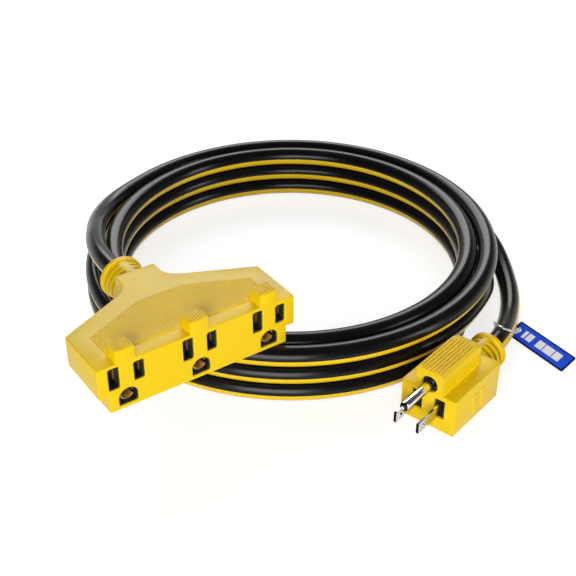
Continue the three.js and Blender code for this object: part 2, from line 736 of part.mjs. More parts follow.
function plugShell() {
  const [width, height] = BLADE_WINDOW;
  const depths = [PLUG_FRONT - 1, CORE_FRONT + 1];
  const windows = [-SLOT_X, SLOT_X].map((x) => alongY(rectangle(width, height, x, BLADE_LEVEL), ...depths));
  const pinWindow = cylinderAlongY(PIN_WINDOW, ...depths, 0, PIN_LEVEL, 24);
  const pocket = alongY(coreOutline(CLEARANCE), CORE_FRONT - CLEARANCE, CORE_BACK + CLEARANCE);
  const roomBack = CORE_BACK + 12;
  const crestRoom = CORE_CREST_HALF_WIDTH;
  const room = join(
    box([1 - CORE_HALF_WIDTH, CORE_HALF_WIDTH - 1], [CORE_BACK, roomBack], [CORE_BOTTOM + 1, CORE_STEP]),
    box([-crestRoom, crestRoom], [CORE_BACK, roomBack], [CORE_STEP - 1, CORE_TOP - 2.6]),
  );
  const way = cylinderAlongY(RELIEF_BORE, roomBack - 1, -PLUG_FRONT + 1, 0, PLUG_RELIEF_LEVEL, 16);
  return cut(plugOutside(), ...windows, pinWindow, pocket, room, way);
}

// The black insert that holds the blades and the pin.
function plugCore() {
  const depths = [CORE_FRONT, CORE_BACK];
  const around = 2 * CLEARANCE;
  const beyond = [CORE_FRONT - 1, CORE_BACK + 1];
  const slots = [-SLOT_X, SLOT_X].map((x) => {
    return alongY(rectangle(BLADE_THICKNESS + around, BLADE_HEIGHT + around, x, BLADE_LEVEL), ...beyond);
  });
  const bore = cylinderAlongY(PIN_RADIUS + CLEARANCE, ...beyond, 0, PIN_LEVEL, 16);
  return cut(alongY(coreOutline(0), ...depths), ...slots, bore);
}

function blade(x) {
  const tip = PLUG_FRONT - BLADE_LENGTH;
  const root = PLUG_FRONT + BLADE_ROOT;
  const low = BLADE_LEVEL - BLADE_HEIGHT / 2;
  const high = BLADE_LEVEL + BLADE_HEIGHT / 2;
  const side = outline([
    [tip, low + 1], [tip + 1.2, low], [root, low], [root, high], [tip + 1.2, high], [tip, high - 1],
  ]);
  const hole = new THREE.Path();
  hole.absarc(tip + BLADE_HOLE_INSET, BLADE_LEVEL, BLADE_HOLE, 0, 2 * Math.PI, true);
  side.holes.push(hole);
  return alongX(side, x - BLADE_THICKNESS / 2, x + BLADE_THICKNESS / 2, 8);
}

function groundPin() {
  const tip = PLUG_FRONT - PIN_LENGTH;
  const root = PLUG_FRONT + PIN_ROOT;
  const profile = [
    [0, root], [PIN_RADIUS, root], [PIN_RADIUS, tip + 2], [PIN_RADIUS - 0.35, tip + 0.9],
    [PIN_RADIUS - 1.1, tip], [0, tip],
  ];
  const points = profile.map(([radius, y]) => new THREE.Vector2(radius, y)).reverse();
  const geometry = new THREE.LatheGeometry(points, 20);
  geometry.translate(0, 0, PIN_LEVEL);
  return solid(geometry);
}

// The conductors, each from behind its blade or the pin into the strain relief's bore.
const PLUG_WIRES = {
  white: [[-6.35, 2.2, 13.2], [-6, 4.5, 13], [-3.6, 8.5, 12], [-1.8, 12.5, 11.5]],
  black: [[6.35, 2.2, 13.2], [6, 4.5, 13], [3.6, 8.5, 12], [1.8, 12.5, 11.5]],
  green: [[0, 2.2, 25.1], [0, 4.2, 24.6], [0, 7.5, 20], [0, 11.5, 15.2], [0, 14.5, 14.6]],
};

function plugWire(route) {
  const [x, , z] = route.at(-1);
  const end = [x, -PLUG_FRONT + RELIEF_BORE_DEPTH, z];
  return tube([...route, end], WIRE_DIAMETER, 8, 1);
}

// ---------------------------------------------------------------- tag

function tagPlate() {
  const half = TAG_WIDTH / 2;
  const low = TAG_HOLE_INSET - TAG_LENGTH;
  const high = TAG_HOLE_INSET;
  const shape = new THREE.Shape();
  shape.moveTo(-half + TAG_CORNER, low);
  shape.lineTo(half - TAG_CORNER, low);
  shape.absarc(half - TAG_CORNER, low + TAG_CORNER, TAG_CORNER, -Math.PI / 2, 0, false);
  shape.absarc(half - TAG_CORNER, high - TAG_CORNER, TAG_CORNER, 0, Math.PI / 2, false);
  shape.absarc(-half + TAG_CORNER, high - TAG_CORNER, TAG_CORNER, Math.PI / 2, Math.PI, false);
  shape.absarc(-half + TAG_CORNER, low + TAG_CORNER, TAG_CORNER, Math.PI, 1.5 * Math.PI, false);
  const hole = new THREE.Path();
  hole.absarc(0, 0, TAG_HOLE, 0, 2 * Math.PI, true);
  shape.holes.push(hole);
  return raised(shape, -TAG_THICKNESS / 2, TAG_THICKNESS / 2, 5);
}

function wireLoop() {
  const path = curveThrough(LOOP_ROUTE, true);
  const steps = 60;
  const sides = 6;
  const frames = path.computeFrenetFrames(steps, true);
  const rings = [];
  for (let step = 0; step < steps; step += 1) {
    const centre = path.getPointAt(step / steps);
    const across = frames.normals[step];
    const up = frames.binormals[step];
    rings.push(ring(centre, across, up, LOOP_WIRE / 2, sides));
  }
  return skin(rings, true);
}

// ---------------------------------------------------------------- finishes

function finish(color, roughness, metalness = 0) {
  return new THREE.MeshStandardMaterial({ color, roughness, metalness });
}

const FINISHES = {
  yellow: () => finish(0xf2c410, 0.5),
  black: () => finish(0x141416, 0.45),
  jacket: () => finish(0x0d0d0f, 0.25),
  nickel: () => finish(0xd6d8dc, 0.15, 1),
  brass: () => finish(0xc9a24a, 0.3, 1),
  white: () => finish(0xe8e8e6, 0.45),
  green: () => finish(0x1f8a3c, 0.45),
  blue: () => finish(0x1d45c4, 0.4),
  steel: () => finish(0xc4c7cc, 0.2, 1),
};

function part(name, shape, finishName) {
  const geometry = shape.isBufferGeometry ? shape : geometryOf(shape);
  const mesh = new THREE.Mesh(geometry, FINISHES[finishName]());
  mesh.name = name;
  return mesh;
}

// ---------------------------------------------------------------- assembly

function blockGroup() {
  const group = new THREE.Group();
  group.position.set(BLOCK_PLACE[0], BLOCK_PLACE[1], COIL_TOP + CLEARANCE - FOOT_BOTTOM);
  group.add(part('block_shell', blockShell(), 'yellow'));
  OUTLETS.forEach((outlet, index) => {
    const x = OUTLET_PLACES[index];
    group.add(part(`outlet_carrier_${outlet}`, outletCarrier(x), 'black'));
    for (const [line, strap] of Object.entries(STRAPS)) {
      const clip = contactClip(x + strap.x, strap.clipZ, strap.gap, tailRange(strap));
      group.add(part(`${line}_clip_${outlet}`, clip, 'brass'));
    }
  });
  for (const [line, strap] of Object.entries(STRAPS)) {
    group.add(part(`${line}_bus_strap`, busStrap(strap), 'brass'));
  }
  for (const [color, route] of Object.entries(BLOCK_WIRES)) {
    group.add(part(`block_wire_${color}`, blockWire(route), color));
  }

  const relief = part('block_strain_relief', strainRelief(BLOCK_RELIEF), 'yellow');
  relief.position.set(0, NECK_LENGTH + CLEARANCE, -NECK_DROP);
  group.add(relief);
  return group;
}

function plugGroup() {
  const group = new THREE.Group();
  group.rotation.z = degrees(PLUG_TURN);
  group.add(part('plug_shell', plugShell(), 'yellow'));
  group.add(part('plug_core', plugCore(), 'black'));
  group.add(part('neutral_blade', blade(-SLOT_X), 'nickel'));
  group.add(part('line_blade', blade(SLOT_X), 'nickel'));
  group.add(part('ground_pin', groundPin(), 'nickel'));
  for (const [color, route] of Object.entries(PLUG_WIRES)) {
    group.add(part(`plug_wire_${color}`, plugWire(route), color));
  }

  const relief = part('plug_strain_relief', strainRelief(PLUG_RELIEF), 'yellow');
  relief.position.set(0, -PLUG_FRONT + CLEARANCE, PLUG_RELIEF_LEVEL);
  group.add(relief);
  return group;
}

function tagGroup() {
  const group = new THREE.Group();
  group.add(part('tag_loop', wireLoop(), 'steel'));
  const plate = part('tag_plate', tagPlate(), 'blue');
  plate.position.set(...TAG_HOLE_PLACE);
  plate.rotation.y = degrees(-TAG_TILT);
  group.add(plate);
  return group;
}

const extensionCord = new THREE.Group();
extensionCord.add(blockGroup());
extensionCord.add(part('cord_lead', tube(LEAD_ROUTE, CORD_DIAMETER, 8, 1), 'jacket'));
extensionCord.add(part('cord_coil', coilSolid(), 'jacket'));
extensionCord.add(part('cord_tail', tube(TAIL_ROUTE, CORD_DIAMETER, 8, 1), 'jacket'));
extensionCord.add(plugGroup());
extensionCord.add(tagGroup());

export default extensionCord;
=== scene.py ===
import math

import bmesh
import bpy
from mathutils import Matrix, Vector


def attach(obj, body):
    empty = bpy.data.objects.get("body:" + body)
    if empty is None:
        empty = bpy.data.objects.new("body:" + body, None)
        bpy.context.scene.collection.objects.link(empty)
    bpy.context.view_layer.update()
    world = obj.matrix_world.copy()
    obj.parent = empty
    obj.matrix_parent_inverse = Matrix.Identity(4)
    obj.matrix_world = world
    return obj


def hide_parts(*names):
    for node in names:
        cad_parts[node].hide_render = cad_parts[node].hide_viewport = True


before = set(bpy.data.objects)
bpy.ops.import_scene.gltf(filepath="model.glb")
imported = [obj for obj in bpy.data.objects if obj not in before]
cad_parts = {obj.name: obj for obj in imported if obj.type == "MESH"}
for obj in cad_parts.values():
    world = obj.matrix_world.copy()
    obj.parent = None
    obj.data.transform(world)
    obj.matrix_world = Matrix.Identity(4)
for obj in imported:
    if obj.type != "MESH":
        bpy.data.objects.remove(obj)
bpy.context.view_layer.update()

# ---------------- camera
# It stands in front of the outlet block and to its left, and looks down across the coil,
# as the photograph does.


def put_in_scene(name, data):
    made = bpy.data.objects.new(name, data)
    bpy.context.scene.collection.objects.link(made)
    return made


def aimed(name, data, place, target):
    """A camera or lamp at a place, turned to a target."""
    made = put_in_scene(name, data)
    made.location = place
    made.rotation_euler = (Vector(target) - Vector(place)).to_track_quat("-Z", "Y").to_euler()
    return made


camera_data = bpy.data.cameras.new("camera")
camera_data.sensor_width = 36
camera_data.lens = 69.27
bpy.context.scene.camera = aimed(
    "camera", camera_data, (-0.30912, -0.30594, 0.35863), (-0.00747, 0.13068, 0))

# ---------------- cable
# Three conductors in one round jacket of glossy black vinyl with two yellow stripes run in. It
# leaves the outlet block, makes five turns and a bit, and runs along the floor to the plug.
CABLE_DIAMETER = 10.7
CABLE_SIDES = 32
CABLE_STEP = 3.0
STRIPE_BELOW_LEVEL = 26  # degrees below the cable's sides
STRIPE_WIDTH = 4.9
STRIPE_BLUR = 0.006
LEAD_ROUTE = [
    (-110, 134.2, 45.18), (-110, 140, 45.15), (-109.4, 150, 44.6), (-107.8, 160, 43.6),
    (-104.8, 171, 41.8), (-100.6, 182, 39.7), (-95.6, 192.2, 37.3), (-88.5, 205.4, 34),
    (-79.7, 217.6, 31.1), (-69.4, 228.5, 28.6), (-61.6, 234.7, 27.4), (-55.1, 238.5, 26.9),
    (-48.25, 241.55, 26.8),
]
TAIL_ROUTE = [
    (113.64, 139.99, 16.1), (113.95, 135, 16.05), (114.3, 124, 15.6), (114, 109.9, 14.4),
    (112.4, 96.2, 12.4), (108.4, 82.8, 9.7), (102.6, 70.6, 7.3), (96, 59.7, 6.0), (89, 50, 5.6),
    (81.5, 41.5, 5.7), (73.3, 33.7, 6.4), (64.6, 26.5, 7.9), (55.3, 19.8, 10), (47, 14.7, 11.7),
    (40.6, 11.8, 12.5), (35.39, 10.07, 12.6),
]
TAIL_ROLL = 34  # degrees
TAIL_ROLL_SPAN = (1, 10)  # outwards from the coil's outer column
COIL_CENTRE = (1.1, 140.4)
COIL_RADIUS = 112
TURN_PITCH = 11.2
LAYER_HEIGHTS = (5.42, 26.82)  # of the lowest layer and the highest
COIL_START = 110.4  # degrees, as COIL_TRAVEL and COIL_STEP
COIL_TRAVEL = 1905
COIL_STEP = 5
MOVES = [  # from, over, columns inwards, layers upwards
    (258, 35, 1, 0), (597, 33, 0, -1), (920, 35, 0, -1), (1240, 35, -1, 0), (1585, 30, 0, 1),
]


def share_of(value, low, high):
    """How far a value has come from low to high, as 0 to 1."""
    return min(max((value - low) / (high - low), 0), 1)


def eased(value, low, high):
    """The same, with a soft start and end."""
    return (1 - math.cos(math.pi * share_of(value, low, high))) / 2


def coil_point(travel):
    """The cable's middle after so many degrees of coil."""
    column, layer = 0, 2
    for start, over, inwards, upwards in MOVES:
        moved = eased(travel, start, start + over)
        column += inwards * moved
        layer += upwards * moved
    angle = math.radians(COIL_START - travel)
    radius = COIL_RADIUS - column * TURN_PITCH
    low, high = LAYER_HEIGHTS
    return (COIL_CENTRE[0] + radius * math.cos(angle), COIL_CENTRE[1] + radius * math.sin(angle),
            low + layer * (high - low) / 2)


def smooth_route(points, step, closed=False):
    """Points about one step apart, on a smooth curve through the given ones."""
    stops = [Vector(p) for p in points]
    if closed:
        stops = [stops[-1]] + stops + stops[:2]
    else:
        stops = [2 * stops[0] - stops[1]] + stops + [2 * stops[-1] - stops[-2]]
    route = []
    for p0, p1, p2, p3 in zip(stops, stops[1:], stops[2:], stops[3:]):
        t1 = (p1 - p0).length ** 0.5
        t2 = t1 + (p2 - p1).length ** 0.5
        t3 = t2 + (p3 - p2).length ** 0.5
        count = max(1, round((p2 - p1).length / step))
        for index in range(count):
            t = t1 + (t2 - t1) * index / count
            a = p0.lerp(p1, t / t1)
            b = p1.lerp(p2, (t - t1) / (t2 - t1))
            c = p2.lerp(p3, (t - t2) / (t3 - t2))
            before, after = a.lerp(b, t / t2), b.lerp(c, (t - t1) / (t3 - t1))
            route.append(before.lerp(after, (t - t1) / (t2 - t1)))
    if not closed:
        route.append(stops[-2])
    return route


def feed(tree, node, inputs):
    """Sets a node's inputs, or links them where the value is another node's output."""
    for name, value in inputs.items():
        if isinstance(value, bpy.types.NodeSocket):
            tree.links.new(value, node.inputs[name])
        else:
            node.inputs[name].default_value = value


def add_node(tree, kind, inputs=None, **settings):
    """A node with its settings made and its inputs fed."""
    made = tree.nodes.new(kind)
    for name, value in settings.items():
        setattr(made, name, value)
    feed(tree, made, inputs or {})
    return made


def wire(tree, kind, inputs=None, output=0, **settings):
    """One output of a new node."""
    return add_node(tree, kind, inputs, **settings).outputs[output]


def maths(tree, operation, *values, clamp=False):
    inputs = dict(enumerate(values))
    return wire(tree, "ShaderNodeMath", inputs, operation=operation, use_clamp=clamp)


def ramp(tree, value, low, high, start=0.0, end=1.0):
    """From start to end while a value goes from low to high."""
    inputs = {"Value": value, 1: low, 2: high, 3: start, 4: end}
    return wire(tree, "ShaderNodeMapRange", inputs)


def blend(tree, share, first, second):
    """The first color, and the second where the share is 1."""
    return wire(tree, "ShaderNodeMix", {0: share, 6: first, 7: second}, 2, data_type="RGBA")


def new_group(name, kind, inputs, outputs):
    """A node group with its sockets, listed by their kind, and its input node's outputs."""
    tree = bpy.data.node_groups.new(name, kind)
    for in_out, sockets in (("INPUT", inputs), ("OUTPUT", outputs)):
        for socket, labels in sockets.items():
            for label in labels:
                tree.interface.new_socket(
                    label, in_out=in_out, socket_type="NodeSocket" + socket)
    return tree, tree.nodes.new("NodeGroupInput").outputs


def round_along_route():
    """Node tree: a round body along a curve. It marks each point with its place round the body
    and along it."""
    tree, given = new_group("round_along_route", "GeometryNodeTree", {
        "Geometry": ["Route"], "Float": ["Diameter"], "Int": ["Sides"], "Material": ["Material"],
    }, {"Geometry": ["Body"]})
    upright = wire(tree, "GeometryNodeSetCurveNormal", {"Curve": given["Route"]}, mode="Z_UP")
    length = wire(tree, "GeometryNodeSplineParameter", output="Length")
    measured = wire(tree, "GeometryNodeStoreNamedAttribute", {
        "Geometry": upright, "Name": "along", "Value": length,
    }, data_type="FLOAT", domain="POINT")
    circle = wire(tree, "GeometryNodeCurvePrimitiveCircle", {
        "Resolution": given["Sides"], "Radius": maths(tree, "DIVIDE", given["Diameter"], 2.0),
    }, mode="RADIUS")
    marked = wire(tree, "GeometryNodeStoreNamedAttribute", {
        "Geometry": circle, "Name": "around", "Value": wire(tree, "GeometryNodeInputPosition"),
    }, data_type="FLOAT_VECTOR", domain="POINT")
    body = wire(tree, "GeometryNodeCurveToMesh", {
        "Curve": measured, "Profile Curve": marked, "Fill Caps": True,
    })
    smooth = wire(tree, "GeometryNodeSetShadeSmooth", {"Geometry": body})
    real = wire(tree, "GeometryNodeRealizeInstances", {"Geometry": smooth})
    inputs = {"Geometry": real, "Material": given["Material"]}
    add_node(tree, "NodeGroupOutput", {"Body": wire(tree, "GeometryNodeSetMaterial", inputs)})
    return tree


def run_nodes(thing, tree, values):
    """A node tree as a modifier on a thing, with its inputs set by name."""
    modifier = thing.modifiers.new(tree.name, "NODES")
    modifier.node_group = tree
    for item in tree.interface.items_tree:
        if item.in_out == "INPUT" and item.name in values:
            modifier[item.identifier] = values[item.name]
    thing.update_tag()


def settled(thing, name):
    """A plain mesh object of what a thing's modifiers make. The thing itself goes."""
    graph = bpy.context.evaluated_depsgraph_get()
    mesh = bpy.data.meshes.new_from_object(thing.evaluated_get(graph), depsgraph=graph)
    mesh.name = name
    bpy.data.objects.remove(thing)
    return put_in_scene(name, mesh)


def to_row(thing, place=None):
    """From millimetres in its own frame to metres in the row's frame."""
    thing.data.transform(Matrix.Scale(0.001, 4) @ (place or Matrix.Identity(4)))
    thing.data.update()


ROUND_ALONG_ROUTE = round_along_route()


def round_body(name, route, diameter, sides, material, closed=False, twist=None):
    curve = bpy.data.curves.new(name, "CURVE")
    curve.dimensions = "3D"
    spline = curve.splines.new("POLY")
    spline.points.add(len(route) - 1)
    for point, place in zip(spline.points, route):
        point.co = (*place, 1)
        point.tilt = twist(place) if twist else 0
    spline.use_cyclic_u = closed
    thing = put_in_scene(name, curve)
    run_nodes(thing, ROUND_ALONG_ROUTE, {
        "Diameter": diameter, "Sides": sides, "Material": material,
    })
    made = settled(thing, name)
    to_row(made)
    return made


def principled(name, inputs):
    """A new material, its tree and its Principled BSDF."""
    material = bpy.data.materials.new(name)
    material.use_nodes = True
    tree = material.node_tree
    shader = tree.nodes["Principled BSDF"]
    feed(tree, shader, inputs)
    return material, tree, shader


def surface_grain():
    """Shader group: the fine unevenness of a moulded or drawn surface, in its color, gloss and
    height."""
    tree, given = new_group("surface_grain", "ShaderNodeTree", {
        "Vector": ["Vector"], "Color": ["Color", "Worn Color"],
        "Float": ["Grain Scale", "Cloud Scale", "Color Change", "Roughness", "Roughness Change",
                  "Relief"],
    }, {"Color": ["Color"], "Float": ["Roughness"], "Vector": ["Normal"]})
    grain = wire(tree, "ShaderNodeTexNoise", {
        "Vector": given["Vector"], "Scale": given["Grain Scale"], "Detail": 3.0, "Roughness": 0.6,
    }, "Fac")
    cloud = wire(tree, "ShaderNodeTexNoise", {
        "Vector": given["Vector"], "Scale": given["Cloud Scale"], "Detail": 4.0, "Roughness": 0.55,
    }, "Fac")
    share = maths(tree, "MULTIPLY", cloud, given["Color Change"], clamp=True)
    swing = maths(tree, "SUBTRACT", cloud, 0.5)
    add_node(tree, "NodeGroupOutput", {
        "Color": blend(tree, share, given["Color"], given["Worn Color"]),
        "Roughness": maths(tree, "MULTIPLY_ADD", swing, given["Roughness Change"],
                           given["Roughness"], clamp=True),
        "Normal": wire(tree, "ShaderNodeBump", {
            "Strength": given["Relief"], "Distance": 0.0001, "Height": grain}),
    })
    return tree


SURFACE_GRAIN = surface_grain()


def grained(tree, shader, streaks=None, **values):
    """surface_grain in a material, linked to its shader. Streaks stretch it along an axis."""
    place = wire(tree, "ShaderNodeTexCoord", output="Object")
    if streaks:
        place = wire(tree, "ShaderNodeMapping", {"Vector": place, "Scale": streaks})
    inputs = {label.replace("_", " "): value for label, value in values.items()}
    group = add_node(tree, "ShaderNodeGroup", {"Vector": place, **inputs}, node_tree=SURFACE_GRAIN)
    made = group.outputs
    feed(tree, shader, {
        "Base Color": made["Color"], "Roughness": made["Roughness"], "Normal": made["Normal"],
    })


def grained_material(name, inputs, streaks=None, **values):
    material, tree, shader = principled(name, inputs)
    grained(tree, shader, streaks, **values)
    return material


def attribute(tree, name, output):
    return wire(tree, "ShaderNodeAttribute", output=output, attribute_name=name)


def axes_of(tree, vector):
    return add_node(tree, "ShaderNodeSeparateXYZ", {"Vector": vector}).outputs


def cable_jacket():
    material, tree, shader = principled("striped black vinyl", {"Specular IOR Level": 0.22})
    axes = axes_of(tree, attribute(tree, "around", "Vector"))
    lean = math.radians(STRIPE_BELOW_LEVEL)
    radius = CABLE_DIAMETER / 2
    side = maths(tree, "ABSOLUTE", axes["X"])
    across = maths(tree, "MULTIPLY", side, math.cos(lean) / radius)
    reach = maths(tree, "MULTIPLY_ADD", axes["Y"], math.sin(lean) / radius, across)
    edge = math.cos(STRIPE_WIDTH / CABLE_DIAMETER)
    stripe = ramp(tree, reach, edge - STRIPE_BLUR, edge + STRIPE_BLUR)
    color = blend(tree, stripe, (0.004, 0.004, 0.005, 1), (1, 0.68, 0.005, 1))
    worn = blend(tree, stripe, (0.009, 0.009, 0.011, 1), (0.95, 0.58, 0.006, 1))
    grained(tree, shader, Color=color, Worn_Color=worn, Grain_Scale=900.0, Cloud_Scale=45.0,
            Color_Change=0.6, Roughness=0.24, Roughness_Change=0.1, Relief=0.04)
    return material


def cable_twist(place):
    """The cable rolls about its own middle where it leaves the coil for the plug."""
    from_centre = math.hypot(place.x - COIL_CENTRE[0], place.y - COIL_CENTRE[1])
    return math.radians(TAIL_ROLL) * eased(from_centre - COIL_RADIUS, *TAIL_ROLL_SPAN)


coil_route = [coil_point(travel) for travel in range(0, COIL_TRAVEL + 1, COIL_STEP)]
route = smooth_route(LEAD_ROUTE + coil_route + TAIL_ROUTE, CABLE_STEP)
cable = round_body("cable", route, CABLE_DIAMETER, CABLE_SIDES, cable_jacket(), twist=cable_twist)
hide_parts("cord_lead", "cord_coil", "cord_tail")
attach(cable, "cord")

# ---------------- outlet block
# One hollow moulding of yellow vinyl: a wide plate that narrows to a neck, a foot under its front
# half, a ribbed field on top, and a ribbed tab that stands up at the front over each outlet.
BLOCK_PLACE = Matrix.Translation((-110, 53.2, 50.58))
PLATE_HALF_WIDTH = 52.6
PLATE_SIDE_DEPTH = 31.7
PLATE_LEVELS = (-8.9, 7.6)
PLATE_EDGE = 0.7
SHOULDER = (18.5, 47.4)
SHOULDER_BEND = 3.6
NECK_RADIUS = 11
NECK_INNER_END = 36.4
NECK_START = 57
NECK_END = 63.5
NECK_LEVEL = -5.4
FOOT_HALF_WIDTH = 47.9
FOOT_LEVELS = (-18.25, -7.9)
FOOT_DEPTH = 31
FOOT_SLOPE = 4
FOOT_EDGE = 0.6
FIELD_TOP = 8.0
FIELD_FRONT = 7.9
FIELD_HALF_WIDTH = 43.4
FIELD_SIDE_END = 24.2
FIELD_MIDDLE_HALF_WIDTH = 12.4
FIELD_MIDDLE_END = 38.4
FIELD_EDGE = 0.35
TAB_HALF_WIDTH = 5
TAB_DEPTH = 9.2
TAB_TOP = 14.3
TAB_EDGE = 0.45
RAISED_BASE = 6.6  # where the field and the tabs start, inside the plate
OUTLET_PLACES = (-38.1, 0, 38.1)
SLOT_SIDE = 6.35
GROUND_DROP = 11.9
FRONT_WALL = 1.6
WINDOW_DEPTH = 3
WINDOW_FLARE = 0.35
INSERT_SPARE = 0.3
INSERT_ROOM_END = 22.2
STRAP_ROOM = (-48.5, 48.5, 21.9, 23.5, -15.9, 6)
CONDUCTOR_ROOMS = ((-6.2, 6.2, 23.4, 52, -7.6, 5), (-6.2, 6.2, 23.4, 30, -15.9, -7))
BORE_RADIUS = 4.2  # for the conductors, here and in the plug
BORE_START = 50


def curved_corner(start, corner, end, steps=10):
    """Points from start to end that bend towards the corner."""
    points = []
    for index in range(steps + 1):
        t = index / steps
        weights = ((1 - t) ** 2, 2 * t * (1 - t), t * t)
        points.append(tuple(sum(weight * p for weight, p in zip(weights, axis))
                            for axis in zip(start, corner, end)))
    return points


def arc(x, z, radius, first, last, steps):
    """Points about x, z from one angle to another, both in right angles."""
    angles = [math.pi / 2 * (first + (last - first) * index / steps) for index in range(steps + 1)]
    return [(x + radius * math.cos(angle), z + radius * math.sin(angle)) for angle in angles]


def circle(radius, x, z, sides):
    return arc(x, z, radius, 0, 4, sides)[:-1]


def rounded_rectangle(width, height, radius, x=0, z=0, grow=0, steps=4):
    """Ring of points of a rectangle with round corners, anticlockwise from its right side."""
    points = []
    reach = max(radius + grow, 0.05)
    half_width, half_height = width / 2 + grow - reach, height / 2 + grow - reach
    for corner, (sx, sz) in enumerate(((1, 1), (-1, 1), (-1, -1), (1, -1))):
        points += arc(x + sx * half_width, z + sz * half_height, reach, corner, corner + 1, steps)
    return points


def domed(width, height, x, z, grow=0, soft=0.7):
    """Ring of points that is flat below, with soft corners, and half round above."""
    half = width / 2 + grow
    bottom = z - height / 2 - grow + soft
    points = arc(x, z + height / 2 + grow - half, half, 0, 2, 16)
    points += arc(x - half + soft, bottom, soft, 2, 3, 3)
    return points + arc(x + half - soft, bottom, soft, 3, 4, 3)


def shell_of(name, rings):
    """A closed body through rings of points, each with the same number."""
    count = len(rings[0])
    last = (len(rings) - 1) * count
    faces = [tuple(range(count)), tuple(range(last, last + count))]
    for band in range(0, last, count):
        for side in range(count):
            beside = (side + 1) % count
            faces.append((band + side, band + beside, band + count + beside, band + count + side))
    mesh = bpy.data.meshes.new(name)
    mesh.from_pydata([tuple(p) for ring in rings for p in ring], [], faces)
    body = bmesh.new()
    body.from_mesh(mesh)
    bmesh.ops.recalc_face_normals(body, faces=body.faces)
    body.to_mesh(mesh)
    body.free()
    return put_in_scene(name, mesh)


def upright(outline, low, high):
    return shell_of("upright", [[(x, y, z) for x, y in outline] for z in (low, high)])


def lengthwise(stations):
    """A body of X-Z outlines, each at its Y."""
    return shell_of("lengthwise", [[(x, y, z) for x, z in outline] for y, outline in stations])


def prism(outline, span):
    """A body of one X-Z outline from one Y to another."""
    return lengthwise([(y, outline) for y in span])


def crosswise(stations):
    """A body of Y-Z outlines, each at its X."""
    return shell_of("crosswise", [[(x, y, z) for y, z in outline] for x, outline in stations])


def box(x0, x1, y0, y1, z0, z1):
    return upright([(x0, y0), (x1, y0), (x1, y1), (x0, y1)], z0, z1)


def eased_edges(thing, width, segments=3, sharper_than=28):
    """The thing with its edges rounded."""
    limit = math.radians(sharper_than)
    body = bmesh.new()
    body.from_mesh(thing.data)
    sharp = [e for e in body.edges if e.is_manifold and e.calc_face_angle() > limit]
    bmesh.ops.bevel(body, geom=sharp, offset=width, segments=segments, profile=0.5,
                    affect="EDGES", clamp_overlap=True)
    body.to_mesh(thing.data)
    body.free()
    return thing


def fused(name, first, added=(), removed=()):
    """One body of the first and the added ones, without what the removed ones take up."""
    for operation, tools in (("UNION", added), ("DIFFERENCE", removed)):
        for tool in tools:
            step = first.modifiers.new(operation, "BOOLEAN")
            step.operation = operation
            step.solver = "EXACT"
            step.object = tool
    made = settled(first, name)
    for tool in (*added, *removed):
        bpy.data.objects.remove(tool)
    return made


def shaded(thing, material, sharper_than=20):
    """Round surfaces look round and the rest keeps its edges."""
    limit = math.radians(sharper_than)
    mesh = thing.data
    body = bmesh.new()
    body.from_mesh(mesh)
    bmesh.ops.remove_doubles(body, verts=body.verts, dist=0.002)
    bmesh.ops.dissolve_degenerate(body, edges=body.edges, dist=0.002)
    for face in body.faces:
        face.smooth = True
    for edge in body.edges:
        edge.smooth = edge.is_manifold and edge.calc_face_angle() < limit
    body.to_mesh(mesh)
    body.free()
    mesh.materials.clear()
    mesh.materials.append(material)
    return thing


def rows_of_ribs():
    """Node tree: rounded ribs side by side, joined to a body. They can get shorter towards the
    row's ends."""
    tree, given = new_group("rows_of_ribs", "GeometryNodeTree", {
        "Geometry": ["Body"], "Int": ["Count"],
        "Float": ["Pitch", "Thickness", "Front", "Middle", "Level", "Middle End", "Side End",
                  "Middle Half Width", "Half Width"],
        "Material": ["Material"],
    }, {"Geometry": ["Body"]})
    spread = maths(tree, "MULTIPLY", maths(tree, "SUBTRACT", given["Count"], 1.0), given["Pitch"])
    start = wire(tree, "ShaderNodeCombineXYZ", {
        "X": maths(tree, "MULTIPLY_ADD", spread, -0.5, given["Middle"]),
        "Y": given["Front"], "Z": given["Level"],
    })
    row = wire(tree, "GeometryNodeMeshLine", {
        "Count": given["Count"], "Start Location": start,
        "Offset": wire(tree, "ShaderNodeCombineXYZ", {"X": given["Pitch"]}),
    }, mode="OFFSET")
    line = wire(tree, "GeometryNodeCurvePrimitiveLine", {"Start": (0, 0, 0), "End": (0, 1, 0)})
    section = wire(tree, "GeometryNodeCurvePrimitiveCircle", {
        "Resolution": 10, "Radius": maths(tree, "DIVIDE", given["Thickness"], 2.0),
    }, mode="RADIUS")
    rib = wire(tree, "GeometryNodeCurveToMesh", {
        "Curve": line, "Profile Curve": section, "Fill Caps": True,
    })
    spot = axes_of(tree, wire(tree, "GeometryNodeInputPosition"))
    offside = maths(tree, "ABSOLUTE", maths(tree, "SUBTRACT", spot["X"], given["Middle"]))
    end = ramp(tree, offside, given["Middle Half Width"], given["Half Width"],
               given["Middle End"], given["Side End"])
    size = wire(tree, "ShaderNodeCombineXYZ", {
        "X": 1.0, "Y": maths(tree, "SUBTRACT", end, given["Front"]), "Z": 1.0,
    })
    ribs = wire(tree, "GeometryNodeInstanceOnPoints", {
        "Points": row, "Instance": rib, "Scale": size,
    })
    real = wire(tree, "GeometryNodeRealizeInstances", {"Geometry": ribs})
    inputs = {"Geometry": real, "Material": given["Material"]}
    both = add_node(tree, "GeometryNodeJoinGeometry")
    for part in (wire(tree, "GeometryNodeSetMaterial", inputs), given["Body"]):
        tree.links.new(part, both.inputs[0])
    add_node(tree, "NodeGroupOutput", {"Body": both.outputs[0]})
    return tree


ROWS_OF_RIBS = rows_of_ribs()


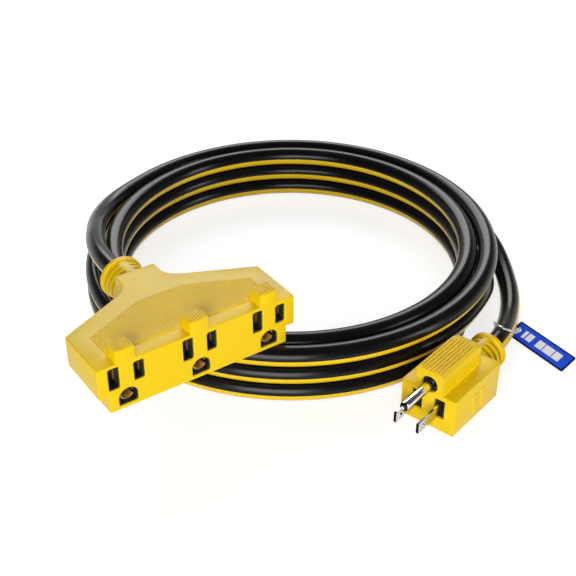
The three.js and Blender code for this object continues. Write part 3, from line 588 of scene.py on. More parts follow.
def yellow_vinyl():
    """Painted shade darkens it in grooves, marked by a mesh's attribute "painted_groove_shade"."""
    material, tree, shader = principled("yellow moulded vinyl", {"Specular IOR Level": 0.3})
    painted_groove_shade = attribute(tree, "painted_groove_shade", "Fac")
    # Painted shade: a dark brown where a point lies deep in a groove.
    color = blend(tree, painted_groove_shade, (0.98, 0.67, 0.003, 1), (0.2, 0.06, 0.002, 1))
    worn = blend(tree, 0.12, color, (0.55, 0.25, 0.004, 1))
    grained(tree, shader, Color=color, Worn_Color=worn, Grain_Scale=2600.0, Cloud_Scale=60.0,
            Color_Change=0.6, Roughness=0.38, Roughness_Change=0.1, Relief=0.25)
    return material


YELLOW_VINYL = yellow_vinyl()


def plate_outline():
    right = [(PLATE_HALF_WIDTH, 0), (PLATE_HALF_WIDTH, PLATE_SIDE_DEPTH)]
    right += curved_corner(SHOULDER, (NECK_RADIUS, SHOULDER[1] + SHOULDER_BEND),
                           (NECK_RADIUS, NECK_START))
    right += [(NECK_RADIUS, NECK_END)]
    return right + [(-x, y) for x, y in reversed(right)]


def window(outline, x, z, front, back):
    """What a window through a wall takes away, with its front edge eased."""
    flare = WINDOW_FLARE
    grows = ((front - 1, flare + 0.6), (front, flare), (front + flare * 0.35, flare * 0.3),
             (front + flare, 0), (back, 0))
    return lengthwise([(y, outline(x, z, grow)) for y, grow in grows])


def neutral_outline(x, z, grow=0):
    return rounded_rectangle(5.6, 12, 1, x - SLOT_SIDE, z, grow)


def line_outline(x, z, grow=0):
    return rounded_rectangle(5.4, 10.4, 1, x + SLOT_SIDE, z, grow)


def ground_outline(x, z, grow=0):
    return domed(9.8, 8.8, x, z - GROUND_DROP, grow)


WINDOW_OUTLINES = (neutral_outline, line_outline, ground_outline)


def insert_outline(x, spare=0):
    """The T-shaped section of an outlet's black insert."""
    wide, narrow = 11.5 + spare, 7.2 + spare
    top, step, bottom = 6 + spare, -8.2 - spare, -17.1 - spare
    right = [(narrow, bottom), (narrow, step), (wide, step), (wide, top)]
    return [(x - narrow, bottom)] + [(x + a, z) for a, z in right] + [
        (x - wide, top), (x - wide, step), (x - narrow, step)]


def raised_parts():
    """The neck, the foot, the field and the tabs."""
    sizes = ((NECK_INNER_END, NECK_RADIUS), (NECK_END - 0.6, NECK_RADIUS),
             (NECK_END - 0.25, NECK_RADIUS - 0.1), (NECK_END, NECK_RADIUS - 0.5))
    neck = lengthwise([(y, circle(radius, 0, NECK_LEVEL, 72)) for y, radius in sizes])
    bottom, top = FOOT_LEVELS
    side = [(0, bottom), (FOOT_DEPTH, bottom), (FOOT_DEPTH + FOOT_SLOPE, top), (0, top)]
    foot = crosswise([(-FOOT_HALF_WIDTH, side), (FOOT_HALF_WIDTH, side)])
    field = upright([
        (-FIELD_HALF_WIDTH, FIELD_FRONT), (FIELD_HALF_WIDTH, FIELD_FRONT),
        (FIELD_HALF_WIDTH, FIELD_SIDE_END), (FIELD_MIDDLE_HALF_WIDTH, FIELD_MIDDLE_END),
        (-FIELD_MIDDLE_HALF_WIDTH, FIELD_MIDDLE_END), (-FIELD_HALF_WIDTH, FIELD_SIDE_END),
    ], RAISED_BASE, FIELD_TOP)
    tabs = [box(x - TAB_HALF_WIDTH, x + TAB_HALF_WIDTH, 0, TAB_DEPTH, RAISED_BASE, TAB_TOP)
            for x in OUTLET_PLACES]
    return [neck, eased_edges(foot, FOOT_EDGE), eased_edges(field, FIELD_EDGE),
            *(eased_edges(tab, TAB_EDGE) for tab in tabs)]


def outlet_block():
    plate = eased_edges(upright(plate_outline(), *PLATE_LEVELS), PLATE_EDGE)
    removed = []
    for x in OUTLET_PLACES:
        removed += [window(outline, x, 0, 0, WINDOW_DEPTH) for outline in WINDOW_OUTLINES]
        room = insert_outline(x, INSERT_SPARE)
        removed.append(prism(room, (FRONT_WALL, INSERT_ROOM_END)))
    removed += [box(*room) for room in (STRAP_ROOM, *CONDUCTOR_ROOMS)]
    removed.append(prism(circle(BORE_RADIUS, 0, NECK_LEVEL, 72), (BORE_START, NECK_END + 1)))
    name = "outlet_block_shell"
    shell = shaded(fused(name, plate, raised_parts(), removed), YELLOW_VINYL)
    run_nodes(shell, ROWS_OF_RIBS, {
        "Count": 96, "Pitch": 0.9, "Thickness": 0.9, "Front": FIELD_FRONT + 0.5, "Middle": 0.0,
        "Level": FIELD_TOP - 0.25, "Middle End": FIELD_MIDDLE_END - 0.8,
        "Side End": FIELD_SIDE_END - 0.2, "Middle Half Width": FIELD_MIDDLE_HALF_WIDTH,
        "Half Width": FIELD_HALF_WIDTH - 0.4, "Material": YELLOW_VINYL,
    })
    for x in OUTLET_PLACES:
        run_nodes(shell, ROWS_OF_RIBS, {
            "Count": 7, "Pitch": 1.35, "Thickness": 0.8, "Front": 0.5, "Middle": x,
            "Level": TAB_TOP, "Middle End": TAB_DEPTH - 0.5, "Side End": TAB_DEPTH - 0.5,
            "Middle Half Width": 1.0, "Half Width": 5.0, "Material": YELLOW_VINYL,
        })
    shell = settled(shell, name)
    to_row(shell, BLOCK_PLACE)
    return shell


block_shell = outlet_block()
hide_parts("block_shell")
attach(block_shell, "cord")

# ---------------- strain reliefs
# A slotted sleeve of the same vinyl at each end of the cable, moulded on to it, with a flange at
# its free end. The slots let it bend, and leave a rib along its top between them.
RELIEF_FLANGE_WIDTH = 2.6
RELIEF_SLOT_DEPTH = 2.8
RELIEF_SLOT_WIDTH = 1.6
RELIEF_SLOT_GAP = 1.2  # between the flange and the first row
RELIEF_ROW_PITCH = 3.7
RELIEF_ROWS = 3
RELIEF_SLOT_SPANS = ((14, 104), (256, 346), (124, 236))  # degrees from its top
RELIEF_STEP = 0.2
RELIEF_SIDES = 120
RELIEF_START = 0.3  # from the wall behind it


def soft_step(value, low, high):
    part = share_of(value, low, high)
    return part * part * (3 - 2 * part)


def relief_radius(length, barrel, flange, angle, y):
    """How far out the sleeve's surface lies, at an angle from its top."""
    flange_start = length - RELIEF_FLANGE_WIDTH
    radius = barrel + (flange - barrel) * soft_step(y, flange_start - 0.15, flange_start + 0.25)
    radius -= 0.5 * (1 - soft_step(length - y, 0, 0.6) ** 0.5)
    slot = 0
    for row in range(RELIEF_ROWS):
        start = flange_start - RELIEF_SLOT_WIDTH - RELIEF_SLOT_GAP - row * RELIEF_ROW_PITCH
        end = start + RELIEF_SLOT_WIDTH
        in_row = soft_step(y, start, start + 0.2) - soft_step(y, end - 0.2, end)
        for low, high in RELIEF_SLOT_SPANS:
            in_span = soft_step(angle, low - 2, low + 2) - soft_step(angle, high - 2, high + 2)
            slot = max(slot, in_row * in_span)
    return radius - RELIEF_SLOT_DEPTH * slot


def strain_relief(name, length, barrel, flange, place):
    turns = [360 * side / RELIEF_SIDES for side in range(RELIEF_SIDES)]
    levels = [index * RELIEF_STEP for index in range(int(length / RELIEF_STEP))]
    levels += [length - 0.3, length - 0.12, length]
    stations = [(y, [relief_radius(length, barrel, flange, turn, y) for turn in turns])
                for y in levels]
    for spare, y in ((0.35, length), (0.1, length - 0.4)):
        stations.append((y, [CABLE_DIAMETER / 2 + spare] * RELIEF_SIDES))
    rings = [[(radius * math.sin(math.radians(turn)), y, radius * math.cos(math.radians(turn)))
              for radius, turn in zip(radii, turns)] for y, radii in stations]
    made = shaded(shell_of(name, rings), YELLOW_VINYL, sharper_than=50)
    # How deep each point lies in a slot, for the painted shade in the slots.
    painted_groove_shade = made.data.attributes.new("painted_groove_shade", "FLOAT", "POINT")
    for mark, vertex in zip(painted_groove_shade.data, made.data.vertices):
        sunk = barrel - math.hypot(vertex.co.x, vertex.co.z)
        mark.value = share_of(sunk, 0, RELIEF_SLOT_DEPTH) if vertex.co.y < length - 1 else 0
    to_row(made, place)
    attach(made, "cord")
    return made


block_relief = strain_relief(
    "block_relief_sleeve", 16.9, 10.7, 11.6,
    BLOCK_PLACE @ Matrix.Translation((0, NECK_END + RELIEF_START, NECK_LEVEL)))
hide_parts("block_strain_relief")

# ---------------- outlet inserts
# A hard black insert behind each outlet's windows. Its collars fill the windows as a dark rim
# round each way in, and its rooms hold the brass clips.
INSERT_SPAN = (1.9, 21.9)
INSERT_EDGE = 0.3
COLLAR_PROFILE = ((0.4, 0.5), (0.6, 0.3), (3, 0.3))  # Y, and how far inside the window
WAY_IN_PROFILE = ((-0.5, 0.45), (0.4, 0.6), (0.9, 0.95), (5.2, 0.95))
CLIP_ROOM_SPAN = (4.7, 22.5)
CLIP_ROOM_HALF_HEIGHT = 3.3
BLADE_CLIP_ROOM = 3.2
GROUND_CLIP_ROOM = 6.5
BLACK_INSERT = grained_material(
    "black moulded insert", {"Specular IOR Level": 0.2}, Color=(0.012, 0.012, 0.014, 1),
    Worn_Color=(0.03, 0.03, 0.034, 1), Grain_Scale=1800.0, Cloud_Scale=150.0, Color_Change=0.6,
    Roughness=0.3, Roughness_Change=0.15, Relief=0.15)


def outlet_insert(name, x):
    body = eased_edges(prism(insert_outline(x), INSERT_SPAN), INSERT_EDGE, 2)
    added = []
    removed = []
    for outline in WINDOW_OUTLINES:
        for profile, tools in ((COLLAR_PROFILE, added), (WAY_IN_PROFILE, removed)):
            tools.append(lengthwise([(y, outline(x, 0, -inside)) for y, inside in profile]))
    rooms = ((x - SLOT_SIDE, 0, BLADE_CLIP_ROOM), (x + SLOT_SIDE, 0, BLADE_CLIP_ROOM),
             (x, -GROUND_DROP, GROUND_CLIP_ROOM))
    for middle, level, width in rooms:
        removed.append(box(middle - width / 2, middle + width / 2, *CLIP_ROOM_SPAN,
                           level - CLIP_ROOM_HALF_HEIGHT, level + CLIP_ROOM_HALF_HEIGHT))
    made = shaded(fused(name, body, added, removed), BLACK_INSERT)
    to_row(made, BLOCK_PLACE)
    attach(made, "cord")
    return made


for side, x in zip(("left", "center", "right"), OUTLET_PLACES):
    insert = outlet_insert(f"outlet_insert_{side}", x)
    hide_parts(f"outlet_carrier_{side}")

# ---------------- contacts, straps and conductors
# Folded brass clips grip the blades and the pin. Three brass straps join them across the block,
# and three insulated conductors run from the straps, and from the blades, into the strain reliefs.
GROUND_CLIP_MOUTH = 2.3
BLADE_CLIP_MOUTH = 3.7
CLIP_START = 5
CLIP_END = 18.6
CLIP_TAIL = 21.9
CLIP_SHEET = 0.4


def metal(name, color, worn, roughness, change, relief, streaks):
    return grained_material(
        name, {"Metallic": 1}, streaks, Color=color, Worn_Color=worn, Grain_Scale=900.0,
        Cloud_Scale=90.0, Color_Change=0.7, Roughness=roughness, Roughness_Change=change,
        Relief=relief)


def insulation(name, color, worn):
    return grained_material(
        name, {}, Color=color, Worn_Color=worn, Grain_Scale=1500.0, Cloud_Scale=120.0,
        Color_Change=0.6, Roughness=0.4, Roughness_Change=0.1, Relief=0.1)


BRASS = metal("stamped brass", (1.0, 0.74, 0.32, 1), (0.75, 0.48, 0.16, 1), roughness=0.45,
              change=0.2, relief=0.15, streaks=(1, 0.15, 1))


def blade_clip(name, x):
    """Two leaves, folded from one strip, that open out towards the window."""
    mouth, throat, inside = 1.4, 1.05, 0.85
    throat_place, grip_place = CLIP_START - 0.4, CLIP_START + 1.5
    outer = [(mouth + 0.1, BLADE_CLIP_MOUTH), (throat + 0.25, throat_place),
             (inside + CLIP_SHEET, grip_place), (inside + CLIP_SHEET, CLIP_END)]
    inner = [(inside, CLIP_END - CLIP_SHEET), (inside, grip_place),
             (throat - 0.15, throat_place), (mouth - 0.25, BLADE_CLIP_MOUTH)]
    outline = [(x + a, y) for a, y in outer] + [(x - a, y) for a, y in reversed(outer)]
    outline += [(x - a, y) for a, y in reversed(inner)] + [(x + a, y) for a, y in inner]
    made = upright(outline, -2.9, 2.9)
    tail = box(x - 0.6, x + 0.6, CLIP_END - 0.2, CLIP_TAIL, -1.5, 1.5)
    return fused(name, made, [tail])


def ground_clip(name, x):
    """A rolled sleeve with a slit along one side and a bell mouth."""
    level = -GROUND_DROP
    turns = [math.radians(a) for a in range(20, 341, 16)]
    sizes = ((GROUND_CLIP_MOUTH, 3.0), (3.2, 2.8), (4.2, 2.6), (CLIP_START + 0.4, 2.5),
             (CLIP_END, 2.5))
    stations = []
    for y, radius in sizes:
        ring = [(x + radius * math.cos(a), level + radius * math.sin(a)) for a in turns]
        radius += CLIP_SHEET
        ring += [(x + radius * math.cos(a), level + radius * math.sin(a)) for a in reversed(turns)]
        stations.append((y, ring))
    made = lengthwise(stations)
    tail = box(x - 1.5, x + 1.5, CLIP_END - 1, CLIP_TAIL, level - 2.9, level - 2.4)
    return fused(name, made, [tail])


for side, x in zip(("left", "center", "right"), OUTLET_PLACES):
    clips = {"neutral": blade_clip(f"neutral_contact_{side}", x - SLOT_SIDE),
             "line": blade_clip(f"line_contact_{side}", x + SLOT_SIDE),
             "ground": ground_clip(f"ground_contact_{side}", x)}
    for pole, clip in clips.items():
        shaded(clip, BRASS, sharper_than=35)
        to_row(clip, BLOCK_PLACE)
        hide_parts(f"{pole}_clip_{side}")
        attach(clip, "cord")
for pole in ("neutral", "line", "ground"):
    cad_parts[f"{pole}_bus_strap"].material_slots[0].material = BRASS
colors = {
    "white": insulation("white insulation", (0.75, 0.75, 0.72, 1), (0.6, 0.6, 0.56, 1)),
    "black": insulation("black insulation", (0.015, 0.015, 0.016, 1), (0.035, 0.035, 0.035, 1)),
    "green": insulation("green insulation", (0.03, 0.3, 0.07, 1), (0.02, 0.22, 0.05, 1)),
}
for color, material in colors.items():
    for end in ("block", "plug"):
        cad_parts[f"{end}_wire_{color}"].material_slots[0].material = material

# ---------------- plug shell
# The plug's yellow moulding: a box to hold it by, with two bars on each side for grip, and a
# narrower ribbed crest over the ground pin that rounds off towards the cable.
PLUG_PLACE = Matrix.Rotation(math.radians(-74.12), 4, "Z")
PLUG_FRONT = -20.6
PLUG_BACK = 20.6
PLUG_HALF_WIDTH = 15.4
PLUG_SHOULDER = 21.4
PLUG_EDGE = 0.7
CREST_TOP = 33.0
CREST_HALF_WIDTH = 7.7
CREST_EDGE = 1.7
CREST_FLAT_END = PLUG_FRONT + 30
CREST_END = PLUG_FRONT + 38
CREST_CORNER = 6
CREST_NARROWING = 5.2
CREST_FALL = 6.5
BLADE_LEVEL = 13.2
PIN_LEVEL = BLADE_LEVEL + GROUND_DROP
CABLE_LEVEL = 12.6
GRIP_BARS = ((16, 4.4), (23.4, 3.6))
GRIP_MIDDLE = 10.1
GRIP_HEIGHT = 10.5
GRIP_PROFILE = ((14.8, 0), (15.75, 0), (15.93, -0.12), (16.0, -0.35))
CORE_OUTLINE = [
    (-10.3, 6.4), (10.3, 6.4), (10.3, 19.7), (5.9, 19.7), (5.9, 31.3), (-5.9, 31.3),
    (-5.9, 19.7), (-10.3, 19.7),
]
CORE_SPAN = (PLUG_FRONT + 1.5, 1.5)
PLUG_CONDUCTOR_ROOMS = ((-9, 9, 1.2, 13.2, 7.7, 19.4), (-5.6, 5.6, 1.2, 12.5, 18.4, 27))
PLUG_BORE_START = 12


def crest_section(y):
    """The crest's outline at one distance along the plug, from inside the body up."""
    closing = share_of(y, CREST_END - CREST_CORNER, CREST_END)
    half = CREST_HALF_WIDTH - CREST_NARROWING * (1 - math.sqrt(1 - closing ** 2))
    falling = share_of(y, CREST_FLAT_END, CREST_END)
    top = CREST_TOP - CREST_FALL * (1 - math.sqrt(1 - falling ** 2))
    base = PLUG_SHOULDER
    right = [(half + 0.6, base - 2), (half + 0.6, base), (half + 0.25, base + 0.25),
             (half + 0.05, base + 0.7), (half, base + 1.2), (half + 0.1, (base + top) / 2)]
    right += arc(half - CREST_EDGE, top - CREST_EDGE, CREST_EDGE, 0, 1, 6)
    return right + [(-x, z) for x, z in reversed(right)]


def plug_crest():
    places = [PLUG_FRONT, PLUG_FRONT + 0.5] + [PLUG_FRONT + i for i in range(1, 31)]
    places += [CREST_FLAT_END + 0.5 * i for i in range(1, 13)]
    places += [CREST_END - i for i in (1.6, 1.1, 0.7, 0.35, 0.12, 0)]
    return lengthwise([(y, crest_section(y)) for y in places])


def blade_outline(x, z, grow=0):
    return rounded_rectangle(5.8, 10.8, 0.4, x, z, grow)


def pin_outline(x, z, grow=0):
    return rounded_rectangle(8.8, 8.8, 4.39, x, z, grow, steps=12)


def plug_shell():
    sides = [(-PLUG_HALF_WIDTH, 0), (PLUG_HALF_WIDTH, 0), (PLUG_HALF_WIDTH, PLUG_SHOULDER),
             (-PLUG_HALF_WIDTH, PLUG_SHOULDER)]
    body = eased_edges(prism(sides, (PLUG_FRONT, PLUG_BACK)), PLUG_EDGE)
    added = [plug_crest()]
    for start, width in GRIP_BARS:
        middle = PLUG_FRONT + start + width / 2
        for side in (-1, 1):
            added.append(crosswise([
                (side * x, rounded_rectangle(width, GRIP_HEIGHT, 0.9, middle, GRIP_MIDDLE, grow))
                for x, grow in GRIP_PROFILE
            ]))
    windows = ((blade_outline, -SLOT_SIDE, BLADE_LEVEL), (blade_outline, SLOT_SIDE, BLADE_LEVEL),
               (pin_outline, 0, PIN_LEVEL))
    removed = [window(outline, x, z, PLUG_FRONT, PLUG_FRONT + WINDOW_DEPTH)
               for outline, x, z in windows]
    removed.append(prism(CORE_OUTLINE, CORE_SPAN))
    removed += [box(*room) for room in PLUG_CONDUCTOR_ROOMS]
    bore = circle(BORE_RADIUS, 0, CABLE_LEVEL, 48)
    removed.append(prism(bore, (PLUG_BORE_START, PLUG_BACK + 1)))
    name = "plug_shell_moulding"
    shell = shaded(fused(name, body, added, removed), YELLOW_VINYL)
    run_nodes(shell, ROWS_OF_RIBS, {
        "Count": 8, "Pitch": 1.8, "Thickness": 1.15, "Front": PLUG_FRONT + 0.7, "Middle": 0.0,
        "Level": CREST_TOP + 0.1, "Middle End": CREST_FLAT_END + 1.2,
        "Side End": CREST_FLAT_END - 0.8, "Middle Half Width": 1.0, "Half Width": 7.0,
        "Material": YELLOW_VINYL,
    })
    shell = settled(shell, name)
    to_row(shell, PLUG_PLACE)
    return shell


plug = plug_shell()
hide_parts("plug_shell")
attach(plug, "cord")
plug_relief = strain_relief(
    "plug_relief_sleeve", 15.6, 9.2, 10.1,
    PLUG_PLACE @ Matrix.Translation((0, PLUG_BACK + RELIEF_START, CABLE_LEVEL)))
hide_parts("plug_strain_relief")
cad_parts["plug_core"].material_slots[0].material = BLACK_INSERT

# ---------------- blades and ground pin
# Two flat blades with a hole near the tip, and a round pin with a domed tip, of brass with a
# bright nickel plate. They are held in the black core and stand out of the plug's face.
PRONG_ROOT = PLUG_FRONT + 22.5
BLADE_LENGTH = 18.6
BLADE_HEIGHT = 6.35
BLADE_THICKNESS = 1.5
BLADE_CORNERS = (1.3, 1.1)  # along the blade and across it
BLADE_HOLE_RADIUS = 1.55
BLADE_HOLE_INSET = 4.6
PIN_RADIUS = 2.4
PIN_LENGTH = 22.4
PIN_DOME = (2.3, 1.5)  # along the pin and inwards


def nickel_plate():
    """Tip rims with the face attribute "dark_tip_reflection" are nearly black: a painted
    reflection.
    """
    made = metal("bright nickel plate", (0.93, 0.93, 0.95, 1), (0.75, 0.75, 0.75, 1),
                 roughness=0.12, change=0.1, relief=0.06, streaks=(0.3, 1, 1))
    tree = made.node_tree
    shader = tree.nodes["Principled BSDF"]
    plate = shader.inputs["Base Color"].links[0].from_socket
    # Painted dark reflection: a near-black base color on the tips' rims.
    dark_tip_reflection = blend(tree, attribute(tree, "dark_tip_reflection", "Fac"), plate, (0.02, 0.02, 0.024, 1))
    feed(tree, shader, {"Base Color": dark_tip_reflection, "Specular Tint": (0.15, 0.15, 0.16, 1)})
    return made


def mark_dark_tip_reflection(made, in_dark_tip_reflection):
    # Marks the faces that get the painted dark reflection at the tips.
    mark = made.data.attributes.new("dark_tip_reflection", "FLOAT", "FACE")
    for face in made.data.polygons:
        mark.data[face.index].value = float(in_dark_tip_reflection(face.center))


NICKEL = nickel_plate()


def blade(name, x):
    tip = PLUG_FRONT - BLADE_LENGTH
    low, high = BLADE_LEVEL - BLADE_HEIGHT / 2, BLADE_LEVEL + BLADE_HEIGHT / 2
    along, across = BLADE_CORNERS
    side = [(PRONG_ROOT, low), (PRONG_ROOT, high)]
    side += curved_corner((tip + along, high), (tip, high), (tip, high - across), 5)
    side += curved_corner((tip, low + across), (tip, low), (tip + along, low), 5)
    half = BLADE_THICKNESS / 2
    body = eased_edges(crosswise([(x - half, side), (x + half, side)]), 0.22, 2, sharper_than=40)
    ring = circle(BLADE_HOLE_RADIUS, tip + BLADE_HOLE_INSET, BLADE_LEVEL, 32)
    hole = crosswise([(x - 2, ring), (x + 2, ring)])
    made = shaded(fused(name, body, removed=[hole]), NICKEL)
    # The blade's tip end gets the painted dark reflection.
    mark_dark_tip_reflection(made, lambda middle: middle.y < tip + 0.4)
    to_row(made, PLUG_PLACE)
    return made


def pin():
    tip = PLUG_FRONT - PIN_LENGTH
    along, inwards = PIN_DOME
    sizes = [(PRONG_ROOT, PIN_RADIUS - 0.2), (PRONG_ROOT - 0.3, PIN_RADIUS),
             (tip + along, PIN_RADIUS)]
    for index in range(1, 9):
        angle = math.pi / 2 * index / 8
        sizes.append((tip + along - along * math.sin(angle),
                      PIN_RADIUS - inwards * (1 - math.cos(angle))))
    sizes.append((tip, 0.5))
    made = lengthwise([(y, circle(radius, 0, PIN_LEVEL, 40)) for y, radius in sizes])
    made.name = "round_ground_pin"
    shaded(made, NICKEL, sharper_than=35)
    # The rim of the pin's dome near its tip gets the painted dark reflection.
    mark_dark_tip_reflection(made, lambda middle: middle.y < tip + 1.2
              and math.hypot(middle.x, middle.z - PIN_LEVEL) > 1)
    to_row(made, PLUG_PLACE)
    return made


prongs = {
    "neutral_blade": blade("flat_blade_left", -SLOT_SIDE),
    "line_blade": blade("flat_blade_right", SLOT_SIDE),
    "ground_pin": pin(),
}
for name, prong in prongs.items():
    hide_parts(name)
    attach(prong, "cord")

# ---------------- tag and its wire loop
# A thin blue plastic tag with a dark printed rim and plain white bars. It hangs by its hole on a
# closed loop of bright wire that goes round the cable.
LOOP_WIRE = 1.15
LOOP_SIDES = 14
LOOP_STEP = 0.8
LOOP_STRANDS = 6.0
LOOP_LAY = 4.0
LOOP_ROUTE = [
    (53.3, 25.2, 13.4), (56.2, 28.1, 9.6), (58.6, 29.6, 6), (61, 29.6, 3.2), (64.3, 28, 1.4),
    (67.5, 28.3, 1.15), (69.9, 26.7, 1.1), (70.1, 24.5, 1.15), (69.8, 23, 1.8),
    (69.4, 22.2, 3.05), (69, 21.4, 4.2), (68.3, 20.5, 6), (65, 18, 7.6), (61, 15.6, 9.2),
    (57.6, 13.8, 11.5), (54.6, 12.8, 14.1), (52, 12.5, 15.95), (50, 13, 17.15),
    (48.3, 15, 17.95), (48.6, 18.4, 17.25), (50.6, 22, 15.6),
]
TAG_PLACE = Matrix.Translation((69.4, 22.2, 3.05)) @ Matrix.Rotation(math.radians(-24), 4, "Y")
TAG_WIDTH = 11
TAG_LENGTH = 40
TAG_THICKNESS = 0.8
TAG_CORNER = 0.9
TAG_EDGE = 0.18
TAG_HOLE = 1.7
TAG_HOLE_INSET = 3
TAG_RIM = 0.95
TAG_BARS = ((4.2, 6.2), (7.0, 10.8), (14.2, 18.8), (19.4, 25.6), (26.2, 31))  # from the hole
TAG_BAR_HALF_WIDTH = 2.4
PRINT_BLUR = 0.06


def loop_wire():
    material, tree, shader = principled("bright stranded wire", {"Metallic": 1})
    axes = axes_of(tree, attribute(tree, "around", "Vector"))
    turn = maths(tree, "MULTIPLY", maths(tree, "ARCTAN2", axes["Y"], axes["X"]), LOOP_STRANDS)
    along = attribute(tree, "along", "Fac")
    strand = maths(tree, "SINE", maths(tree, "MULTIPLY_ADD", along, LOOP_LAY, turn))
    bump = {"Strength": 0.5, "Distance": 0.0001, "Height": strand}
    # Painted shade: the hollows between the strands get a darker base color.
    shade = ramp(tree, strand, -1.0, 1.0)
    feed(tree, shader, {
        "Base Color": blend(tree, shade, (0.55, 0.55, 0.57, 1), (0.88, 0.88, 0.89, 1)),
        "Roughness": ramp(tree, strand, -1.0, 1.0, 0.35, 0.2),
        "Normal": wire(tree, "ShaderNodeBump", bump),
    })
    return material


loop = round_body("tag_wire_loop", smooth_route(LOOP_ROUTE, LOOP_STEP, closed=True), LOOP_WIRE,
                  LOOP_SIDES, loop_wire(), closed=True)
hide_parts("tag_loop")
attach(loop, "loop")


def bar_mask(tree, along, across, low, high, half_width):
    """1 inside a bar printed along the tag."""
    middle, half = (low + high) / 2, (high - low) / 2
    from_middle = maths(tree, "ABSOLUTE", maths(tree, "SUBTRACT", along, middle))
    beyond = maths(tree, "SUBTRACT", from_middle, half)
    beside = maths(tree, "SUBTRACT", maths(tree, "ABSOLUTE", across), half_width)
    return ramp(tree, maths(tree, "MAXIMUM", beyond, beside), PRINT_BLUR, -PRINT_BLUR)


def printed_tag():
    """Its UV map is in millimetres: along the tag from its hole, and across it from its middle."""
    material, tree, shader = principled("printed blue plastic", {"Specular IOR Level": 0.2})
    axes = axes_of(tree, wire(tree, "ShaderNodeUVMap", uv_map="tag"))
    along, across = axes["X"], axes["Y"]
    white = 0.0
    for start, end in TAG_BARS:
        bar = bar_mask(tree, along, across, start, end, TAG_BAR_HALF_WIDTH)
        white = maths(tree, "MAXIMUM", white, bar)
    inside = bar_mask(tree, along, across, TAG_RIM - TAG_HOLE_INSET,
                      TAG_LENGTH - TAG_HOLE_INSET - TAG_RIM, TAG_WIDTH / 2 - TAG_RIM)
    blue = blend(tree, inside, (0.003, 0.006, 0.09, 1), (0.015, 0.09, 0.8, 1))
    color = blend(tree, white, blue, (0.95, 0.95, 0.95, 1))
    worn = blend(tree, 0.15, color, (0.01, 0.03, 0.25, 1))
    grained(tree, shader, Color=color, Worn_Color=worn, Grain_Scale=1200.0, Cloud_Scale=140.0,
            Color_Change=0.5, Roughness=0.3, Roughness_Change=0.12, Relief=0.12)
    return material


def tag_plate():
    middle = TAG_HOLE_INSET - TAG_LENGTH / 2
    outline = rounded_rectangle(TAG_WIDTH, TAG_LENGTH, TAG_CORNER, 0, middle, steps=5)
    half = TAG_THICKNESS / 2
    body = eased_edges(upright(outline, -half, half), TAG_EDGE, 2, sharper_than=40)
    hole = upright(circle(TAG_HOLE, 0, 0, 36), -2, 2)
    made = shaded(fused("hanging_tag", body, removed=[hole]), printed_tag())
    chart = made.data.uv_layers.new(name="tag")
    for corner in made.data.loops:
        place = made.data.vertices[corner.vertex_index].co
        chart.data[corner.index].uv = (-place.y, place.x)
    to_row(made, TAG_PLACE)
    return made


tag = tag_plate()
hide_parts("tag_plate")
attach(tag, "tag")

# ---------------- floor and studio light
# A wide white floor and soft light: a broad lamp in front at the left, a weaker one at the right,
# and a wider one behind and above the coil whose reflection lies on surfaces that face up.
FLOOR_LEVEL = -0.0002
FLOOR_GREY = (0.5, 0.5, 0.5, 1)
FLOOR_GLOW = (0.78, 1.0)  # near the coil and far from it
FLOOR_GLOW_REACH = (0.6, 1.4)
LAMP_TARGET = (-0.02, 0.1, 0.03)
BACK_LAMP_TARGET = (-0.03, 0.1, 0.03)


def seen_rays(tree):
    """1 for the rays that show a surface: straight, in a reflection or through glass."""
    path = add_node(tree, "ShaderNodeLightPath").outputs
    seen = maths(tree, "MAXIMUM", path["Is Camera Ray"], path["Is Glossy Ray"])
    return path, maths(tree, "MAXIMUM", seen, path["Is Transmission Ray"])


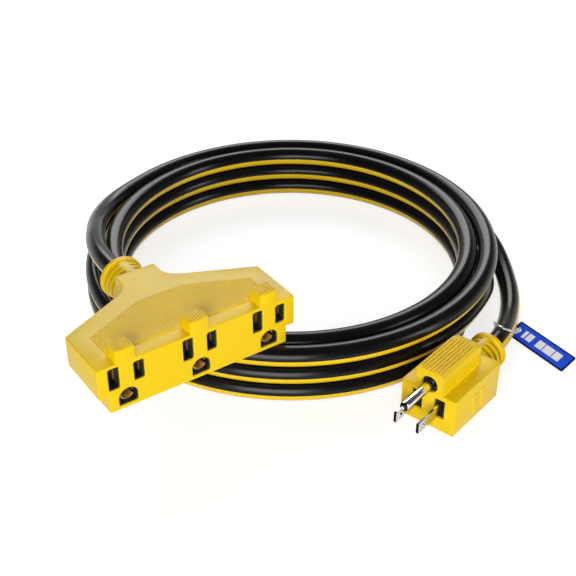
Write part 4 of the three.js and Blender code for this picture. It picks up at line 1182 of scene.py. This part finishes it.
def floor_finish():
    """It keeps the coil's shadow, and glows so that it is white where nothing shades it."""
    material = bpy.data.materials.new("white floor")
    material.use_nodes = True
    tree = material.node_tree
    tree.nodes.remove(tree.nodes["Principled BSDF"])
    paint = wire(tree, "ShaderNodeBsdfDiffuse", {"Color": FLOOR_GREY})
    place = wire(tree, "ShaderNodeTexCoord", output="Object")
    away = wire(tree, "ShaderNodeVectorMath", {0: place}, "Value", operation="LENGTH")
    _, seen = seen_rays(tree)
    white = maths(tree, "MULTIPLY", seen, ramp(tree, away, *FLOOR_GLOW_REACH, *FLOOR_GLOW))
    glow = wire(tree, "ShaderNodeEmission", {"Strength": white})
    both = wire(tree, "ShaderNodeAddShader", {0: paint, 1: glow})
    feed(tree, tree.nodes["Material Output"], {"Surface": both})
    return material


floor_mesh = bpy.data.meshes.new("floor")
floor_corners = [(x, y, FLOOR_LEVEL) for x, y in ((-4, -4), (4, -4), (4, 4), (-4, 4))]
floor_mesh.from_pydata(floor_corners, [], [(0, 1, 2, 3)])
floor_mesh.materials.append(floor_finish())
floor = put_in_scene("floor", floor_mesh)


def lamp(name, place, target, size, power):
    data = bpy.data.lights.new(name, "AREA")
    data.shape = "RECTANGLE"
    data.size, data.size_y = size
    data.energy = power
    aimed(name, data, place, target)


lamp("left lamp", (-1.12, -1.04, 0.5), LAMP_TARGET, size=(1.0, 0.95), power=24)
lamp("right lamp", (0.9, -1.24, 0.5), LAMP_TARGET, size=(0.4, 0.9), power=8)
lamp("back lamp", (0.72, 1.38, 1.02), BACK_LAMP_TARGET, size=(1.5, 0.8), power=22)


def white_studio():
    """White for the camera. For other rays it is brightest low down behind the coil."""
    world = bpy.data.worlds.new("white studio")
    world.use_nodes = True
    tree = world.node_tree
    path, seen = seen_rays(tree)
    axes = axes_of(tree, wire(tree, "ShaderNodeTexCoord", output="Generated"))
    low_down = ramp(tree, axes["Z"], 0.0, 0.35, 0.8, 0.1)
    back = maths(tree, "MULTIPLY_ADD", axes["X"], 0.57, maths(tree, "MULTIPLY", axes["Y"], 0.82))
    shade = maths(tree, "MULTIPLY", low_down, ramp(tree, back, -0.4, 0.4, 0.15, 1.0))
    feed(tree, tree.nodes["Background"], {
        "Color": maths(tree, "MAXIMUM", shade, path["Is Camera Ray"]),
        "Strength": ramp(tree, seen, 0.0, 1.0, 0.2, 1.0),
    })
    return world


bpy.context.scene.world = white_studio()
bpy.context.scene.view_settings.view_transform = "Standard"
